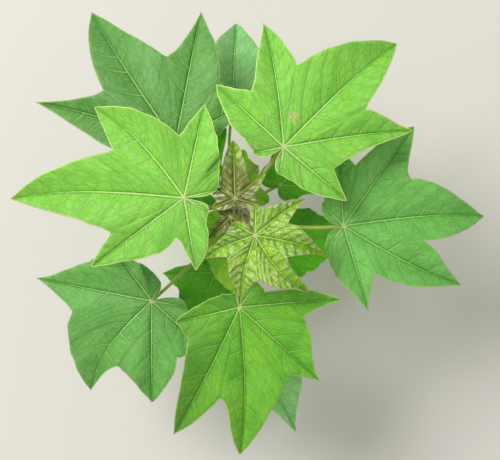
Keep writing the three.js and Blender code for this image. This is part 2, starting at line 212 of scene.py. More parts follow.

# Each leaf, oldest first. node is the height that its stalk grows at. reach, toward and hub place the hub of
# its blade, and bow is the stalk's sideways swing. heading is the way that the middle lobe points. pitch,
# droop and fold shape the blade. A lobe is (angle from the middle lobe, length, spread of its tip on the
# clockwise side, spread on the other side), with one spread where both are the same. A notch is (angle,
# distance from the hub, opening on its clockwise side, opening on the other side), with one opening where
# both are the same and none where it is NOTCH_OPEN. vein_bows is how far the main vein of each lobe swings
# aside. finish names the leaf's colours and tone is how bright they are: on the lower leaves a tone well
# over 1 paints in light on a leaf that the leaves over it shade. quilt is how far the skin swells between
# its side veins, over 1 for a leaf that is opening, and ripple is how far the edge waves.
LEAVES = [
    dict(
        name="01", node=88, reach=48, toward=-37, bow=2, hub=130, heading=6,
        pitch=8, droop=10, fold=0.08,
        lobes=[(-132, 36, ROUND), (-58, 48, 70), (0, 92, 52), (58, 44, 70), (132, 34, ROUND)],
        notches=[(-92, 38, ROUND), (-36, 54, ROUND), (36, 52, ROUND), (92, 36, ROUND)],
        finish="shade", quilt=0.5, ripple=1.2, tone=2.05,
    ),
    dict(
        name="02", node=96, reach=32, toward=84, bow=-1, hub=120, heading=85,
        pitch=6, droop=5, fold=0.1,
        lobes=[(-118, 33, ROUND), (-31, 28, 60, 50), (4, 40, 66), (48, 30, 60), (118, 28, ROUND)],
        notches=[(-72, 15, ROUND), (-6, 30, 60, 30), (26, 28), (80, 22, ROUND)],
        finish="low", quilt=0.4, ripple=0.8, tone=2.6,
    ),
    dict(
        name="03", node=108, reach=66, toward=248, bow=-2, hub=158, heading=244,
        pitch=10, droop=9, fold=0.1,
        lobes=[(-140, 23, ROUND), (-63, 57, 38, 34), (0, 74, 40), (62, 52, 40), (138, 23, ROUND)],
        notches=[(-96, 25, ROUND), (-38, 43), (38, 41), (96, 23, ROUND)],
        finish="shade", quilt=0.5, ripple=1.2, tone=1.5,
    ),
    dict(
        name="04", node=118, reach=53, toward=36, bow=3, hub=150, heading=46,
        pitch=8, droop=10, fold=0.1,
        lobes=[(-112, 18, ROUND), (-48, 68, 40), (0, 95, 38), (46, 72, 36), (108, 25, ROUND)],
        notches=[(-80, 24, ROUND), (-26, 54), (25, 54), (76, 26, ROUND)],
        finish="shade", quilt=0.5, ripple=1.2, tone=1.85,
    ),
    dict(
        name="05", node=160, reach=47, toward=147, bow=2, hub=205, heading=165,
        pitch=8, droop=9, fold=0.12,
        lobes=[
            (-144, 22, ROUND), (-98, 68, 29, 36), (-46, 62, 36), (0, 75, 36), (44, 60, 36), (92, 44, 36),
            (140, 24, ROUND),
        ],
        notches=[(-124, 31, ROUND), (-72, 38), (-24, 44), (22, 44), (68, 34), (116, 24, ROUND)],
        finish="shade", quilt=0.5, ripple=1.2, tone=2.2,
    ),
    dict(
        name="06", node=150, reach=145, toward=-83, bow=-3, hub=175, heading=-65,
        pitch=12, droop=12, fold=0.12,
        lobes=[
            (-140, 24, ROUND), (-92, 46, 34), (-48, 70, 34), (1, 97, 25, 13), (56, 60, 38), (98, 44, 34),
            (140, 24, ROUND),
        ],
        notches=[
            (-116, 24, ROUND), (-70, 36), (-21, 50, 46, 58), (36, 54, 51, 46), (78, 34), (118, 24, ROUND),
        ],
        finish="dull", quilt=0.6, ripple=1.4, tone=1.75,
    ),
    dict(
        name="07", node=172, reach=102, toward=94, bow=6, hub=215, heading=88,
        pitch=10, droop=12, fold=0.12,
        lobes=[
            (-140, 22, ROUND), (-98, 46, 36), (-52, 74, 36), (0, 95, 48, 51), (52, 70, 36), (98, 44, 36),
            (140, 22, ROUND),
        ],
        notches=[
            (-118, 24, ROUND), (-74, 38), (-35, 56, 46, 39), (31, 55, 42, 46), (74, 36), (118, 24, ROUND),
        ],
        finish="dull", quilt=0.6, ripple=1.3, tone=1.36,
    ),
    dict(
        name="08", node=196, reach=25, toward=244, bow=1, hub=232, heading=-83,
        pitch=12, droop=6, fold=0.12,
        lobes=[(-150, 30, ROUND), (-47, 32, 60, 62), (1, 61, 43, 40), (46, 27, 70), (132, 21, ROUND)],
        notches=[(-92, 20, ROUND), (-33, 38), (28, 34), (86, 18, ROUND)],
        finish="low", quilt=0.5, ripple=1.0, tone=2.9,
    ),
    dict(
        name="09", node=186, reach=122, toward=225, bow=2.5, hub=233, heading=205,
        pitch=11, droop=14, fold=0.13,
        lobes=[
            (-142, 20.5, 31, 124), (-78, 58, 50), (-35, 122, 18), (30, 113, 68, -3), (64, 104, 44, 43),
            (113, 72, 37, 34), (145, 36, ROUND, 62),
        ],
        notches=[
            (-98, 40, 140, ROUND), (-58, 72, 46, 40), (-17, 81, 49, 52), (36, 77, 57, 126), (90, 61, 27, 46),
            (134, 40, ROUND),
        ],
        vein_bows=(0, 0, 0, -9, 0, 0, 0), finish="cool", quilt=0.8, ripple=1.6, tone=1.04,
    ),
    dict(
        name="10", node=206, reach=101, toward=-7, bow=-7, hub=270, heading=3,
        pitch=10, droop=15, fold=0.13,
        lobes=[
            (-130, 29, 41, 107), (-76, 85, 30, 17), (-29, 132, 33, 17), (1, 145, 33, 31), (51, 121, 32, 41),
            (91, 75, 27, 30), (131, 30, 90, 64),
        ],
        notches=[
            (-108, 43, 98, 43), (-60, 55, 54, 26), (-13, 80, 22, 6), (31, 79, 11, 89), (76, 60, 41, 51),
            (110, 42, ROUND),
        ],
        vein_bows=(0, 0, -4, 4, 0, 0, 0), finish="cool", quilt=0.8, ripple=1.6, tone=1.48,
    ),
    dict(
        name="11", node=220, reach=89, toward=132, bow=2, hub=283, heading=123,
        pitch=10, droop=16, fold=0.13,
        lobes=[
            (-140, 32, ROUND), (-93, 72, 39, 36), (-43, 132, 33, 14), (0, 158, 26, 41), (40, 146, 15, 12),
            (88, 78, 34), (138, 32, ROUND),
        ],
        notches=[
            (-115, 40, 46, 43), (-69, 71, 46, 24), (-27, 83, 59, 52), (21, 85, 22, 59), (63, 58, 27, 46),
            (114, 36, ROUND),
        ],
        vein_bows=(0, 0, 0, 2, -3, 0, 0), finish="cool", quilt=0.8, ripple=1.6, tone=0.9,
    ),
    dict(
        name="12", node=234, reach=88.9, toward=-89.4, bow=1.5, hub=290, heading=-89,
        pitch=10, droop=15, fold=0.13,
        lobes=[
            (-159, 15, 93, 75), (-77.5, 64, 30, 26), (-28, 142, 23, 34), (-1, 147, 31, 38),
            (46, 107, 16, 13), (93, 97, 15, 32), (143, 29, 89, 79),
        ],
        notches=[
            (-125, 21, 42, 50), (-59, 57, 47, 51), (-13, 89, 34, 67), (34, 80, 55, 44), (80, 60, 30, 49),
            (121, 28, 22, 49),
        ],
        vein_bows=(0, 0, 2, 5, 0, 1, 0), finish="full", quilt=0.8, ripple=1.6, tone=1.11,
    ),
    dict(
        name="13", node=246, reach=73, toward=55, bow=1, hub=318, heading=44,
        pitch=7, droop=14, fold=0.13,
        lobes=[
            (-143, 26, 59, 86), (-84, 77, 35, 26), (-36, 124, 17, 25), (-1, 147, 35, 53), (55, 118, 46, 20),
            (93, 86, 24, 38), (147, 29, ROUND, 57),
        ],
        notches=[
            (-121, 32, 92, 32), (-69, 51, 51, 77), (-19, 83, 30, 40), (37, 76, 44, 30), (76, 59, 42, 48),
            (125, 37, 23, 91),
        ],
        vein_bows=(0, 0, 2, 3, -3, 0, 0), finish="fresh", quilt=1.0, ripple=1.8, tone=1.03,
    ),
    dict(
        name="14", node=258, reach=51, toward=165, bow=2, hub=322, heading=174,
        pitch=9, droop=14, fold=0.12,
        lobes=[
            (-161, 31, 25, 118), (-96, 88, 41, 26), (-39, 120, 53, 21), (6, 167, 43, 20), (42, 110, 29, 25),
            (105, 68, 25, 51), (156, 26, 89, 75),
        ],
        notches=[
            (-124, 50, 136, 42), (-79, 57, 38), (-28, 80, 25, 55), (31, 76, 58, 38), (85, 38, 15, 69),
            (136, 31, 10, 87),
        ],
        vein_bows=(0, 0, -7, -6, 0, 0, 0), finish="fresh", quilt=1.0, ripple=1.8, tone=1.01,
    ),
    dict(
        name="15", node=282, reach=26, toward=-54, bow=-1, hub=334, heading=-58,
        pitch=6, droop=8, fold=0.2,
        lobes=[
            (-151, 23, 62, 97), (-97, 51, 46, 14), (-45, 56, 61, 29), (12, 73, 34, 13), (42, 66, 10, 36),
            (94, 56, 14, 33), (146, 29, 46, 42),
        ],
        notches=[
            (-129, 25, 93, 64), (-83, 32, 52, 55), (-29, 40, 40, 48), (24, 36, 65, 51), (78, 32, 25, 43),
            (137, 23, 54),
        ],
        vein_bows=(0, -2.5, -2.2, -6.5, 3, 1.5, 0), finish="young", quilt=2.1, ripple=2.0, tone=1.18,
    ),
    dict(
        name="16", node=290, reach=13, toward=103, bow=0.5, hub=320, heading=93,
        pitch=6, droop=8, fold=0.22,
        lobes=[(-107, 27, 24, 20), (-51, 40, 30, 16), (-1, 55, 44, 38), (55, 30, 30), (110, 27, 20, 24)],
        notches=[(-87, 17, 60, 50), (-43, 21, 40, 72), (51, 17, 65, 46), (93, 17, 46, 60)],
        finish="bronze", quilt=1.5, ripple=1.2, tone=1,
    ),
    dict(
        name="17", node=293, reach=8, toward=210, bow=0, hub=312, heading=223,
        pitch=12, droop=4, fold=0.25,
        lobes=[(-112, 13, 30), (-70, 17, 24), (0, 31, 40), (56, 18, 40), (112, 11, 30)],
        notches=[(-92, 9, 60), (-45, 10, 60), (34, 13, 60), (84, 9, 60)],
        finish="bronze", quilt=1.2, ripple=0.8,
    ),
]

# Numbers of the last leaf among the lower ones and among the full ones over them
LAST_OLD_LEAF = 11
LAST_FULL_LEAF = 14

# Brown spots and papery patches: leaf, place in the blade's own plane, radius
SPOTS = {
    "13": [((25.4, 13.7), 5.5), ((-18.3, 19.5), 2.4), ((-10, 12.3), 1.0)],
    "14": [((47.9, -47.8), 1.2)],
    "11": [((44.7, 9.5), 1.0)],
    "06": [((75.3, -1.9), 2.0)],
    "02": [((22, -12), 9.0)],
}

# Leaves with painted shade toward one side, where less light falls on them: direction in the blade's plane,
# where the shade starts and ends, how dark it gets
PAINTED_SHADE_SIDES = {
    "01": ((0, 1), 12, 20, 0.42),
    "07": ((0, 1), -2, 4, 0.3),
    "10": ((1, 0), 20, 60, 0.12),
    "11": ((0, 1), -25, 20, 0.2),
    "12": ((0, -1), 0, 60, 0.42),
    "14": ((0, 1), 15, 50, 0.12),
}


def colour(text):
    """Linear colour from six hexadecimal digits of an sRGB one."""
    parts = [int(text[i : i + 2], 16) / 255 for i in (0, 2, 4)]
    return tuple(p / 12.92 if p <= 0.04045 else ((p + 0.055) / 1.055) ** 2.4 for p in parts)


def leaf_finish(
    greens, veins, rim, painted_sheen, hollow_shade, roughness, shine, ribs=1.0, warm=0.0, blush=0.0, tips=0.0, base=0.0
):
    """What the finish of a leaf is made of.

    These are the pair of greens, the shares of pale veins, pale rim, painted sheen on the swellings and
    painted shade in the hollows, the roughness, the shine, the width of the main veins, the shares of warm
    patches, blush and pale green tips, and how much more painted sheen the blade has by the stalk than
    further out.
    """
    return dict(
        greens=greens, veins=veins, rim=rim, painted_sheen=painted_sheen, hollow_shade=hollow_shade, roughness=roughness, shine=shine,
        ribs=ribs, warm=warm, blush=blush, tips=tips, base=base,
    )


FINISHES = {
    "fresh": leaf_finish("fresh", 0.85, 0.8, 0.04, 0.3, 0.48, 0.3, warm=0.3),
    "full": leaf_finish("full", 0.6, 0.5, 0.02, 0.3, 0.46, 0.3, ribs=0.6, warm=0.5),
    "cool": leaf_finish("cool", 0.6, 0.4, 0.05, 0.2, 0.46, 0.4, ribs=0.85, warm=0.1),
    "dull": leaf_finish("dull", 0.5, 0.3, 0.06, 0.2, 0.5, 0.3),
    "low": leaf_finish("low", 0.4, 0.3, 0.02, 0.15, 0.5, 0.3),
    "shade": leaf_finish("shade", 0.4, 0.3, 0.02, 0.1, 0.5, 0.3),
    "young": leaf_finish("young", 0.85, 0.7, 0.45, 0.85, 0.3, 0.22, blush=0.2, tips=0.6),
    "bronze": leaf_finish("bronze", 0.45, 0.6, 0.7, 0.85, 0.3, 0.22, blush=0.5, tips=0.95, base=0.6),
}
# The darker green of the grain is the one painted as shade in the hollows; in the grain it is a random tone
GRAIN_SHARE = 0.3  # how much of the sunken green shows in the grain of a blade


# Settings shown in the sidebar


def length_value(text, value, note):
    return FloatProperty(
        name=text, description=note, default=value, min=0, unit="LENGTH", subtype="DISTANCE"
    )


def count_value(text, value, note, least):
    return IntProperty(name=text, description=note, default=value, min=least)


def plain_value(text, value, note):
    return FloatProperty(name=text, description=note, default=value, min=0)


def power_value(text, value, note):
    return FloatProperty(name=text, description=note, default=value, min=0, unit="POWER")


def tint(text, code, note):
    return FloatVectorProperty(
        name=text, description=note, default=colour(code), size=3, min=0, max=1, subtype="COLOR"
    )


class SeedlingShape(bpy.types.PropertyGroup):
    blade_thickness: length_value("Blade thickness", 0.0006, "Thickness of a grown leaf blade")
    side_rays: count_value("Rays a lobe side", 24, "Mesh rays on each side of a lobe", 4)
    blade_rings: count_value("Blade rings", 72, "Mesh rings from the hub to the edge", 6)
    main_rib: length_value("Main rib radius", 0.0009, "Radius of a main vein at the hub of a grown leaf")
    side_rib: length_value("Side rib radius", 0.0005, "Radius of a side vein where it leaves the main vein")
    rib_sides: count_value("Rib sides", 8, "Sides of a vein's section", 3)
    rib_step: length_value("Rib step", 0.003, "Distance between rings of a vein's skin")
    stalk_sides: count_value("Stalk sides", 20, "Sides of a leaf stalk's section", 3)
    stalk_step: length_value("Stalk step", 0.0012, "Distance between rings of a leaf stalk's skin")
    stalk_grain: length_value("Stalk grain", 0.00025, "Depth of the unevenness in a leaf stalk's skin")
    stem_sides: count_value("Stem sides", 72, "Sides of the stem's section", 8)
    stem_step: length_value("Stem step", 0.0014, "Distance between rings of the stem's skin")
    ridge_depth: length_value("Ridge depth", 0.0005, "Depth of the long ridges in the stem's skin")
    cushion_swell: length_value("Cushion swell", 0.0016, "How far the stem swells under a leaf stalk")
    lenticels: plain_value("Lenticels", 9000, "Pale pores a square metre of stem")
    hairs: plain_value("Hairs", 900000, "Hairs a square metre of bud")
    seed: count_value("Seed", 7, "Start value of everything scattered", 0)


class SeedlingColours(bpy.types.PropertyGroup):
    fresh_light: tint("Fresh leaf, light", "93dc52", "Lighter green of the newest full leaves")
    fresh_deep: tint("Fresh leaf, deep", "7ecb40", "Deeper green of the newest full leaves")
    full_light: tint("Full leaf, light", "78c23a", "Lighter green of a leaf just grown out")
    full_deep: tint("Full leaf, deep", "61ac28", "Deeper green of a leaf just grown out")
    cool_light: tint("Grown leaf, light", "6fb452", "Lighter green of a grown leaf")
    cool_deep: tint("Grown leaf, deep", "5aa141", "Deeper green of a grown leaf")
    dull_light: tint("Dull leaf, light", "8cc47a", "Lighter green of a leaf with a bluish bloom")
    dull_deep: tint("Dull leaf, deep", "6fae62", "Deeper green of a leaf with a bluish bloom")
    # Greens of the low leaves: lighter for a low leaf in good light, as painted light, and darker for the
    # lowest leaves, partly their older colour and partly painted shade from the leaves over them
    low_light: tint("Low leaf, light", "82c833", "Lighter green of a low leaf in good light")
    low_deep: tint("Low leaf, deep", "68ad20", "Deeper green of a low leaf in good light")
    shade_light: tint("Old leaf, light", "5caa18", "Lighter green of the lowest leaves")
    shade_deep: tint("Old leaf, deep", "44910c", "Deeper green of the lowest leaves")
    young_light: tint("Young leaf, light", "c4ec58", "Lighter green of a leaf that is opening")
    young_deep: tint("Young leaf, deep", "92d022", "Deeper green of a leaf that is opening")
    bronze_light: tint("Bronze leaf, light", "98a61c", "Greener part of a bronze leaf")
    bronze_deep: tint("Bronze leaf, deep", "6c7c08", "Darker part of a bronze leaf")
    blush: tint("Blush", "a07048", "Red-brown of young edges and tips")
    vein: tint("Vein", "d6eda0", "Pale main veins")
    hub: tint("Hub", "d9cf86", "Pale spot over the end of the stalk")
    rim: tint("Rim", "e2f296", "Thin pale rim of a blade")
    # Painted sheen: a pale highlight painted on the swellings of young and bronze leaves, and mixed into
    # their blush and tips
    painted_sheen: tint("Silver", "e6f5c0", "Sheen on the swellings between the veins of a young leaf")
    # Groove shade: the dark green painted as shade in the grooves beside the veins, in the hollows and on
    # shaded sides, and the colour of the fine net
    groove: tint("Groove", "2f7a12", "Dark green of the sunken veins")
    scorch: tint("Scorch", "a07c44", "Brown of spots and dry patches")
    papery: tint("Papery", "e4d6a4", "Pale skin left inside a dry patch")
    under: tint("Underside", "a9cc8c", "Pale green underside of a blade")
    stalk: tint("Stalk", "9cae3c", "Olive green of a leaf stalk")
    stalk_red: tint("Stalk blush", "9c7c40", "Reddish tinge of a leaf stalk")
    stem_green: tint("Stem green", "8a9a5e", "Green of the stem's upper part")
    stem_brown: tint("Stem brown", "8d7f63", "Grey-brown of the stem's foot")
    lenticel: tint("Lenticel", "c9bd96", "Pale pores of the stem")
    bud: tint("Bud", "a6b070", "Downy green of the bud")
    hair: tint("Hair", "dfe3cc", "Silvery hairs")


class SeedlingStage(bpy.types.PropertyGroup):
    camera_place: FloatVectorProperty(
        name="Camera", description="Place of the camera, which looks straight down",
        default=(0.0108, -0.0162, 1.4), size=3, unit="LENGTH", subtype="TRANSLATION",
    )
    focal_length: plain_value("Focal length", 84.96, "Of the camera's lens, in millimetres")
    sensor: plain_value("Sensor width", 36.0, "Of the camera, in millimetres")
    floor_size: length_value("Floor size", 24.0, "Side of the floor")
    floor: tint("Floor", "e2ded6", "Colour of the floor")
    sky: tint("Sky", "f2f3ef", "Colour of the light from all round")
    sky_strength: plain_value("Sky strength", 0.55, "Strength of the light from all round")
    key_power: power_value("Key light", 60, "Power of the large light")
    fill_power: power_value("Fill light", 4, "Power of the second light")


# Rules of shape, in millimetres


def smooth(low, high, value):
    """0 below low, 1 above high and an even curve between them."""
    share = np.clip((value - low) / (high - low), 0, 1)
    return share * share * (3 - 2 * share)


def stem_centre(z):
    """Middle of the stem at heights."""
    share = z / STEM_TOP
    ease = share * share * (3 - 2 * share)
    x = STEM_SWAY * np.sin(2 * np.pi * share) * ease
    y = STEM_SWAY * np.sin(np.pi * ease)
    return np.stack([x, y, np.asarray(z, float)], axis=-1)


def stem_radius(z):
    """Radius of the stem at heights."""
    heights, radii = zip(*STEM_STATIONS)
    return np.interp(z, heights, radii)


def leaf_length(leaf):
    """Distance from the hub to the longest tip."""
    return max(lobe[1] for lobe in leaf["lobes"])


def stalk_scale(leaf):
    """How thick the stalk of a leaf is, as a share of the thickest."""
    return min(max(0.45 + leaf_length(leaf) / 260, LEAST_STALK_SCALE), 1)


def leaf_hub(leaf):
    """Place of the hub, where the stalk meets the blade."""
    toward = math.radians(leaf["toward"])
    return np.array([leaf["reach"] * math.cos(toward), leaf["reach"] * math.sin(toward), leaf["hub"]])


def stalk_path(leaf):
    """Points of a stalk from the stem's skin to the hub, and the radius at each."""
    foot, hub = stem_centre(leaf["node"]), leaf_hub(leaf)
    out = (hub - foot) * (1, 1, 0)
    span = np.linalg.norm(out)
    out /= span
    across = np.array([-out[1], out[0], 0])
    rise = leaf["hub"] - leaf["node"]
    bow = leaf["bow"] * 4 / 3
    near, far = STALK_HANDLES
    handles = np.array([
        foot,
        foot + out * span * near + across * bow + (0, 0, rise * near * STALK_RISE),
        foot + out * span * far + across * bow + (0, 0, rise * (1 - near * (2 - STALK_RISE))),
        hub - (0, 0, STALK_END_DEPTH),
    ])
    share = np.linspace(0, 1, STALK_STEPS)[:, None]
    points = bezier(handles, share)
    walked = np.concatenate([[0], np.cumsum(np.linalg.norm(np.diff(points, axis=0), axis=1))])
    part = walked / walked[-1]
    radius = STALK_RADIUS * (1 - STALK_TAPER * part)
    radius += (STALK_BASE_RADIUS - STALK_RADIUS) * np.exp(-STALK_FLARE * part)
    radius *= stalk_scale(leaf)
    radius *= 1 + STALK_KNOB * np.exp(-(((walked[-1] - walked) / STALK_KNOB_LENGTH) ** 2))
    radius[-1] *= STALK_END_SHARE
    keep = walked > stem_radius(leaf["node"]) - STALK_SUNK
    return points[keep], radius[keep]


def bezier(handles, share):
    """Points of the curve with these four handles at shares of the way along it."""
    rest = 1 - share
    return (
        handles[0] * rest**3
        + handles[1] * 3 * share * rest**2
        + handles[2] * 3 * share**2 * rest
        + handles[3] * share**3
    )


def polar(angle, distance):
    """Place in a plane from an angle in degrees and a distance."""
    return np.array([distance * math.cos(math.radians(angle)), distance * math.sin(math.radians(angle))])


def line_distance(x, y, points):
    """Distance in a plane from places to a line through points."""
    best = np.full(np.shape(x), np.inf)
    for (ax, ay), (bx, by) in zip(points, points[1:]):
        ex, ey = bx - ax, by - ay
        share = np.clip(((x - ax) * ex + (y - ay) * ey) / max(ex**2 + ey**2, LEAST_SQUARE), 0, 1)
        best = np.minimum(best, (x - ax - share * ex) ** 2 + (y - ay - share * ey) ** 2)
    return np.sqrt(best)


def lobe_side(lobe, spread, notch, arrival, side, steps):
    """Points of one side of a lobe, from its tip to its notch: side is 1 anticlockwise and -1 clockwise."""
    tip, end = polar(lobe[0], lobe[1]), polar(notch[0], notch[1])
    chord = np.linalg.norm(tip - end)
    first = tip + polar(lobe[0] + 180 - side * spread, chord * TIP_REACH)
    second = end + polar(arrival[0], chord * arrival[1])
    return bezier([tip, first, second, end], np.linspace(0, 1, steps + 1)[:, None])


class Blade:
    """The rule of one leaf blade, in its own frame: the hub at the origin and the middle lobe along +X."""

    def __init__(self, leaf, steps):
        self.leaf = leaf
        self.steps = steps
        self.length = leaf_length(leaf)
        self.young = leaf["quilt"] > 1
        self.lean = YOUNG_VEIN_LEAN if self.young else SIDE_VEIN_LEAN
        self.curve = YOUNG_VEIN_CURVE if self.young else SIDE_VEIN_CURVE
        self.random = np.random.default_rng(BLADE_SEED + int(leaf["name"]))
        self.lobes = leaf["lobes"]
        self.axes = np.radians([lobe[0] for lobe in self.lobes])
        self.sizes = np.array([lobe[1] for lobe in self.lobes], float)
        self.cuts = np.radians([notch[0] for notch in leaf["notches"]])
        self.angles, self.radii = self.outline()
        self.rim = np.stack([self.radii * np.cos(self.angles), self.radii * np.sin(self.angles)], axis=1)
        self.starts = [self.side_vein_starts(size) for size in self.sizes]
        self.waves = [
            (order, self.random.uniform(0.35, 1) * (7 / order) ** 0.5, self.random.uniform(0, 2 * np.pi))
            for order in WAVE_ORDERS
        ]
        count = len(self.lobes)
        self.tip_lift = self.random.uniform(*TIP_LIFTS, count) * self.sizes
        self.tip_twist = self.random.uniform(*TIP_TWISTS, count)

    def outline(self):
        """Angle and distance of the edge's points, anticlockwise from the cleft and never turning back."""
        lobes, notches = self.leaf["lobes"], self.leaf["notches"]
        cleft = 180 - SINUS_HALF_ANGLE
        bounds = [(-cleft, SINUS_RADIUS), *notches, (cleft, SINUS_RADIUS)]

        def arrival(index, side):
            """Angle and reach of the handle with which a lobe's side comes to a notch or to the cleft."""
            if index in (0, len(bounds) - 1):
                return side * cleft, SINUS_REACH
            angle, _, before, after = (*bounds[index], NOTCH_OPEN, NOTCH_OPEN)[:4]
            if len(bounds[index]) == 3:
                after = before
            return angle - side * (before if side > 0 else after), NOTCH_REACH

        last, angles, radii = -cleft - LEAST_TURN, [], []
        for i, lobe in enumerate(lobes):
            other = lobe[3] if len(lobe) > 3 else lobe[2]
            rising = lobe_side(lobe, lobe[2], bounds[i], arrival(i, -1), -1, self.steps)[::-1]
            falling = lobe_side(lobe, other, bounds[i + 1], arrival(i + 1, 1), 1, self.steps)
            for x, y in (*rising[1 if i else 0 :], *falling[1:]):
                turn = math.degrees(math.atan2(y, x)) - lobe[0]
                last = max(lobe[0] + turn - 360 * round(turn / 360), last + LEAST_TURN)
                angles.append(math.radians(last))
                radii.append(math.hypot(x, y))
        angles, radii = np.array(angles), np.array(radii)
        for order, phase in zip(WOBBLE_ORDERS, self.random.uniform(0, 2 * np.pi, len(WOBBLE_ORDERS))):
            radii += EDGE_WOBBLE * np.sin(order * angles + phase) * smooth(*WOBBLE_FADE, radii)
        return angles, radii

    def side_vein_starts(self, size):
        """For each side of a lobe, where its side veins start, as shares of its length."""
        step = YOUNG_VEIN_STEP if self.young else SIDE_VEIN_STEP
        count = int(np.clip(round(size / step), *SIDE_VEIN_COUNTS))
        sides = []
        for shift in (0.0, 0.5):
            rank = (np.arange(count) + shift) / (count + shift)
            starts = FIRST_SIDE_VEIN + (1 - FIRST_SIDE_VEIN) * (1 - (1 - rank) ** SIDE_VEIN_CROWDING)
            starts[1:] += self.random.uniform(-SIDE_VEIN_JITTER, SIDE_VEIN_JITTER, count - 1)
            sides.append(np.array([0, *LOW_SIDE_VEINS, *starts, 1.02]))
        return sides

    def radius_at(self, angle):
        """Distance of the edge from the hub."""
        return np.interp(angle, self.angles, self.radii)

    def lobe_at(self, angle):
        """Number of the lobe that an angle falls in."""
        return np.searchsorted(self.cuts, angle)

    def lobe_place(self, lobe, x, y):
        """Distance along the lobe's own line and distance to its anticlockwise side."""
        c, s = np.cos(self.axes[lobe]), np.sin(self.axes[lobe])
        return x * c + y * s, y * c - x * s

    def vein_place(self, lobe, side, along, off):
        """Number of the side vein that a point lies on or between, and the distance between them there."""
        size = self.sizes[lobe]
        level = (along - self.lean * np.abs(off)) / size - self.curve * (off / size) ** 2
        starts = self.starts[lobe][1 if side > 0 else 0]
        rank = np.arange(len(starts)) - (len(LOW_SIDE_VEINS) + 1.0)
        number = np.interp(level, starts, rank) + np.minimum(level, 0) / LOW_SIDE_VEINS[0]
        middles, gaps = (starts[1:] + starts[:-1]) / 2, np.diff(starts)
        return number, np.interp(level, middles, gaps) * size

    def rim_distance(self, x, y):
        """Distance from points to the edge."""
        return line_distance(x, y, [*self.rim, self.rim[0]])

    def crease(self, angle):
        """0 along each lobe's own line, 1 half-way between two of them."""
        after = np.clip(np.searchsorted(self.axes, angle), 1, len(self.axes) - 1)
        before = after - 1
        share = (angle - self.axes[before]) / (self.axes[after] - self.axes[before])
        return np.where((share > 0) & (share < 1), np.sin(np.pi * np.clip(share, 0, 1)), 0)

    def pillow(self, lobe, side, x, y):
        """Swelling of the skin between two side veins, from 0 to 1, and its size. Young skin is wrinkled."""
        along, off = self.lobe_place(lobe, x, y)
        number, gap = self.vein_place(lobe, side, along, off)
        part = number - np.floor(number)
        swell = (1 - (2 * part - 1) ** 2) ** 0.7
        if self.young:
            across = np.abs(off) / (PUCKER * np.maximum(gap, 5))
            across = across + 0.37 * np.floor(number) + 0.25 * np.sin(5 * part)
            swell = swell * (0.35 + 0.65 * np.abs(np.sin(np.pi * across)) ** 0.8)
            swell = swell * (0.8 + 0.2 * np.sin(0.45 * along + 0.7 * off))
        return swell * smooth(0.2, 3.5, np.abs(off)), np.clip(gap / 14, 0.45, 1.2)

    def lift(self, x, y, rim):
        """Height of the blade's middle surface over its hub."""
        leaf = self.leaf
        r, angle = np.hypot(x, y), np.arctan2(y, x)
        height = -x * math.tan(math.radians(leaf["pitch"])) - leaf["droop"] * (r / self.length) ** 2
        height = height + leaf["fold"] * r * self.crease(angle)
        share = np.clip(r / self.radius_at(angle), 0, 1.2)
        fade = smooth(*EDGE_FADE, rim) * smooth(*HUB_FADE, r)
        for cut in self.cuts:
            fade = fade * smooth(*CUT_FADE, np.abs(r * np.sin(np.clip(angle - cut, -1.5, 1.5))))
        lobe = self.lobe_at(angle)
        for i in range(len(self.lobes)):
            turned = np.sin(angle - self.axes[i])
            for side in (-1, 1):
                here = (lobe == i) & (turned >= 0 if side > 0 else turned < 0)
                swell, size = self.pillow(i, side, x[here], y[here])
                along, off = self.lobe_place(i, x[here], y[here])
                tip = smooth(*TIP_SHARES, along / self.sizes[i])
                curl = tip * (self.tip_lift[i] * 0.6 + self.tip_twist[i] * off)
                height[here] += leaf["quilt"] * swell * size * fade[here] + curl
        for order, weight, phase in self.waves:
            wave = np.sin(order * angle + phase) * smooth(*WAVE_FADE, r)
            height = height + 0.5 * leaf["ripple"] * weight * share**3 * wave
        return height

    def bend(self, x, y):
        """Points moved sideways within their lobe, so that its veins bow while its edge stays."""
        if "vein_bows" not in self.leaf:
            return x, y
        r, angle = np.hypot(x, y), np.arctan2(y, x)
        share = np.clip(r / self.radius_at(angle), 0, 1)
        lobe = self.lobe_at(angle)
        ends = np.concatenate([[-math.pi], self.cuts, [math.pi]])
        axis = self.axes[lobe]
        room = np.where(angle > axis, ends[lobe + 1] - axis, axis - ends[lobe])
        aside = np.clip(np.abs(angle - axis) / room, 0, 1)
        bow = np.array(self.leaf["vein_bows"], float)[lobe]
        shift = bow * VEIN_SWING * share * (1 - share**2) * (1 - aside**2) ** 2
        return x - shift * np.sin(axis), y + shift * np.cos(axis)

    def rib_distance(self, lobe, x, y):
        """Distance from points, already moved, to the main vein of a lobe."""
        line = np.linspace(0, self.sizes[lobe], RIB_LINE_PIECES + 1)
        bowed = self.bend(line * math.cos(self.axes[lobe]), line * math.sin(self.axes[lobe]))
        return line_distance(x, y, list(zip(*bowed)))

    def skins(self, x, y, offsets, rim=None):
        """Points of the whole plant's frame, in metres, at each offset along the blade's normal."""
        rim = self.rim_distance(x, y) if rim is None else rim
        z = self.lift(x, y, rim)
        dx = (self.lift(x + SLOPE_STEP, y, rim) - z) / SLOPE_STEP
        dy = (self.lift(x, y + SLOPE_STEP, rim) - z) / SLOPE_STEP
        size = np.sqrt(dx**2 + dy**2 + 1)
        bent_x, bent_y = self.bend(x, y)
        turn = math.radians(self.leaf["heading"])
        c, s = math.cos(turn), math.sin(turn)
        across = np.array([[c, s, 0], [-s, c, 0], [0, 0, 1]])
        found = []
        for offset in offsets:
            shifted = [bent_x - offset * dx / size, bent_y - offset * dy / size, z + offset / size]
            found.append((np.stack(shifted, axis=-1) @ across + leaf_hub(self.leaf)) * MM)
        return found

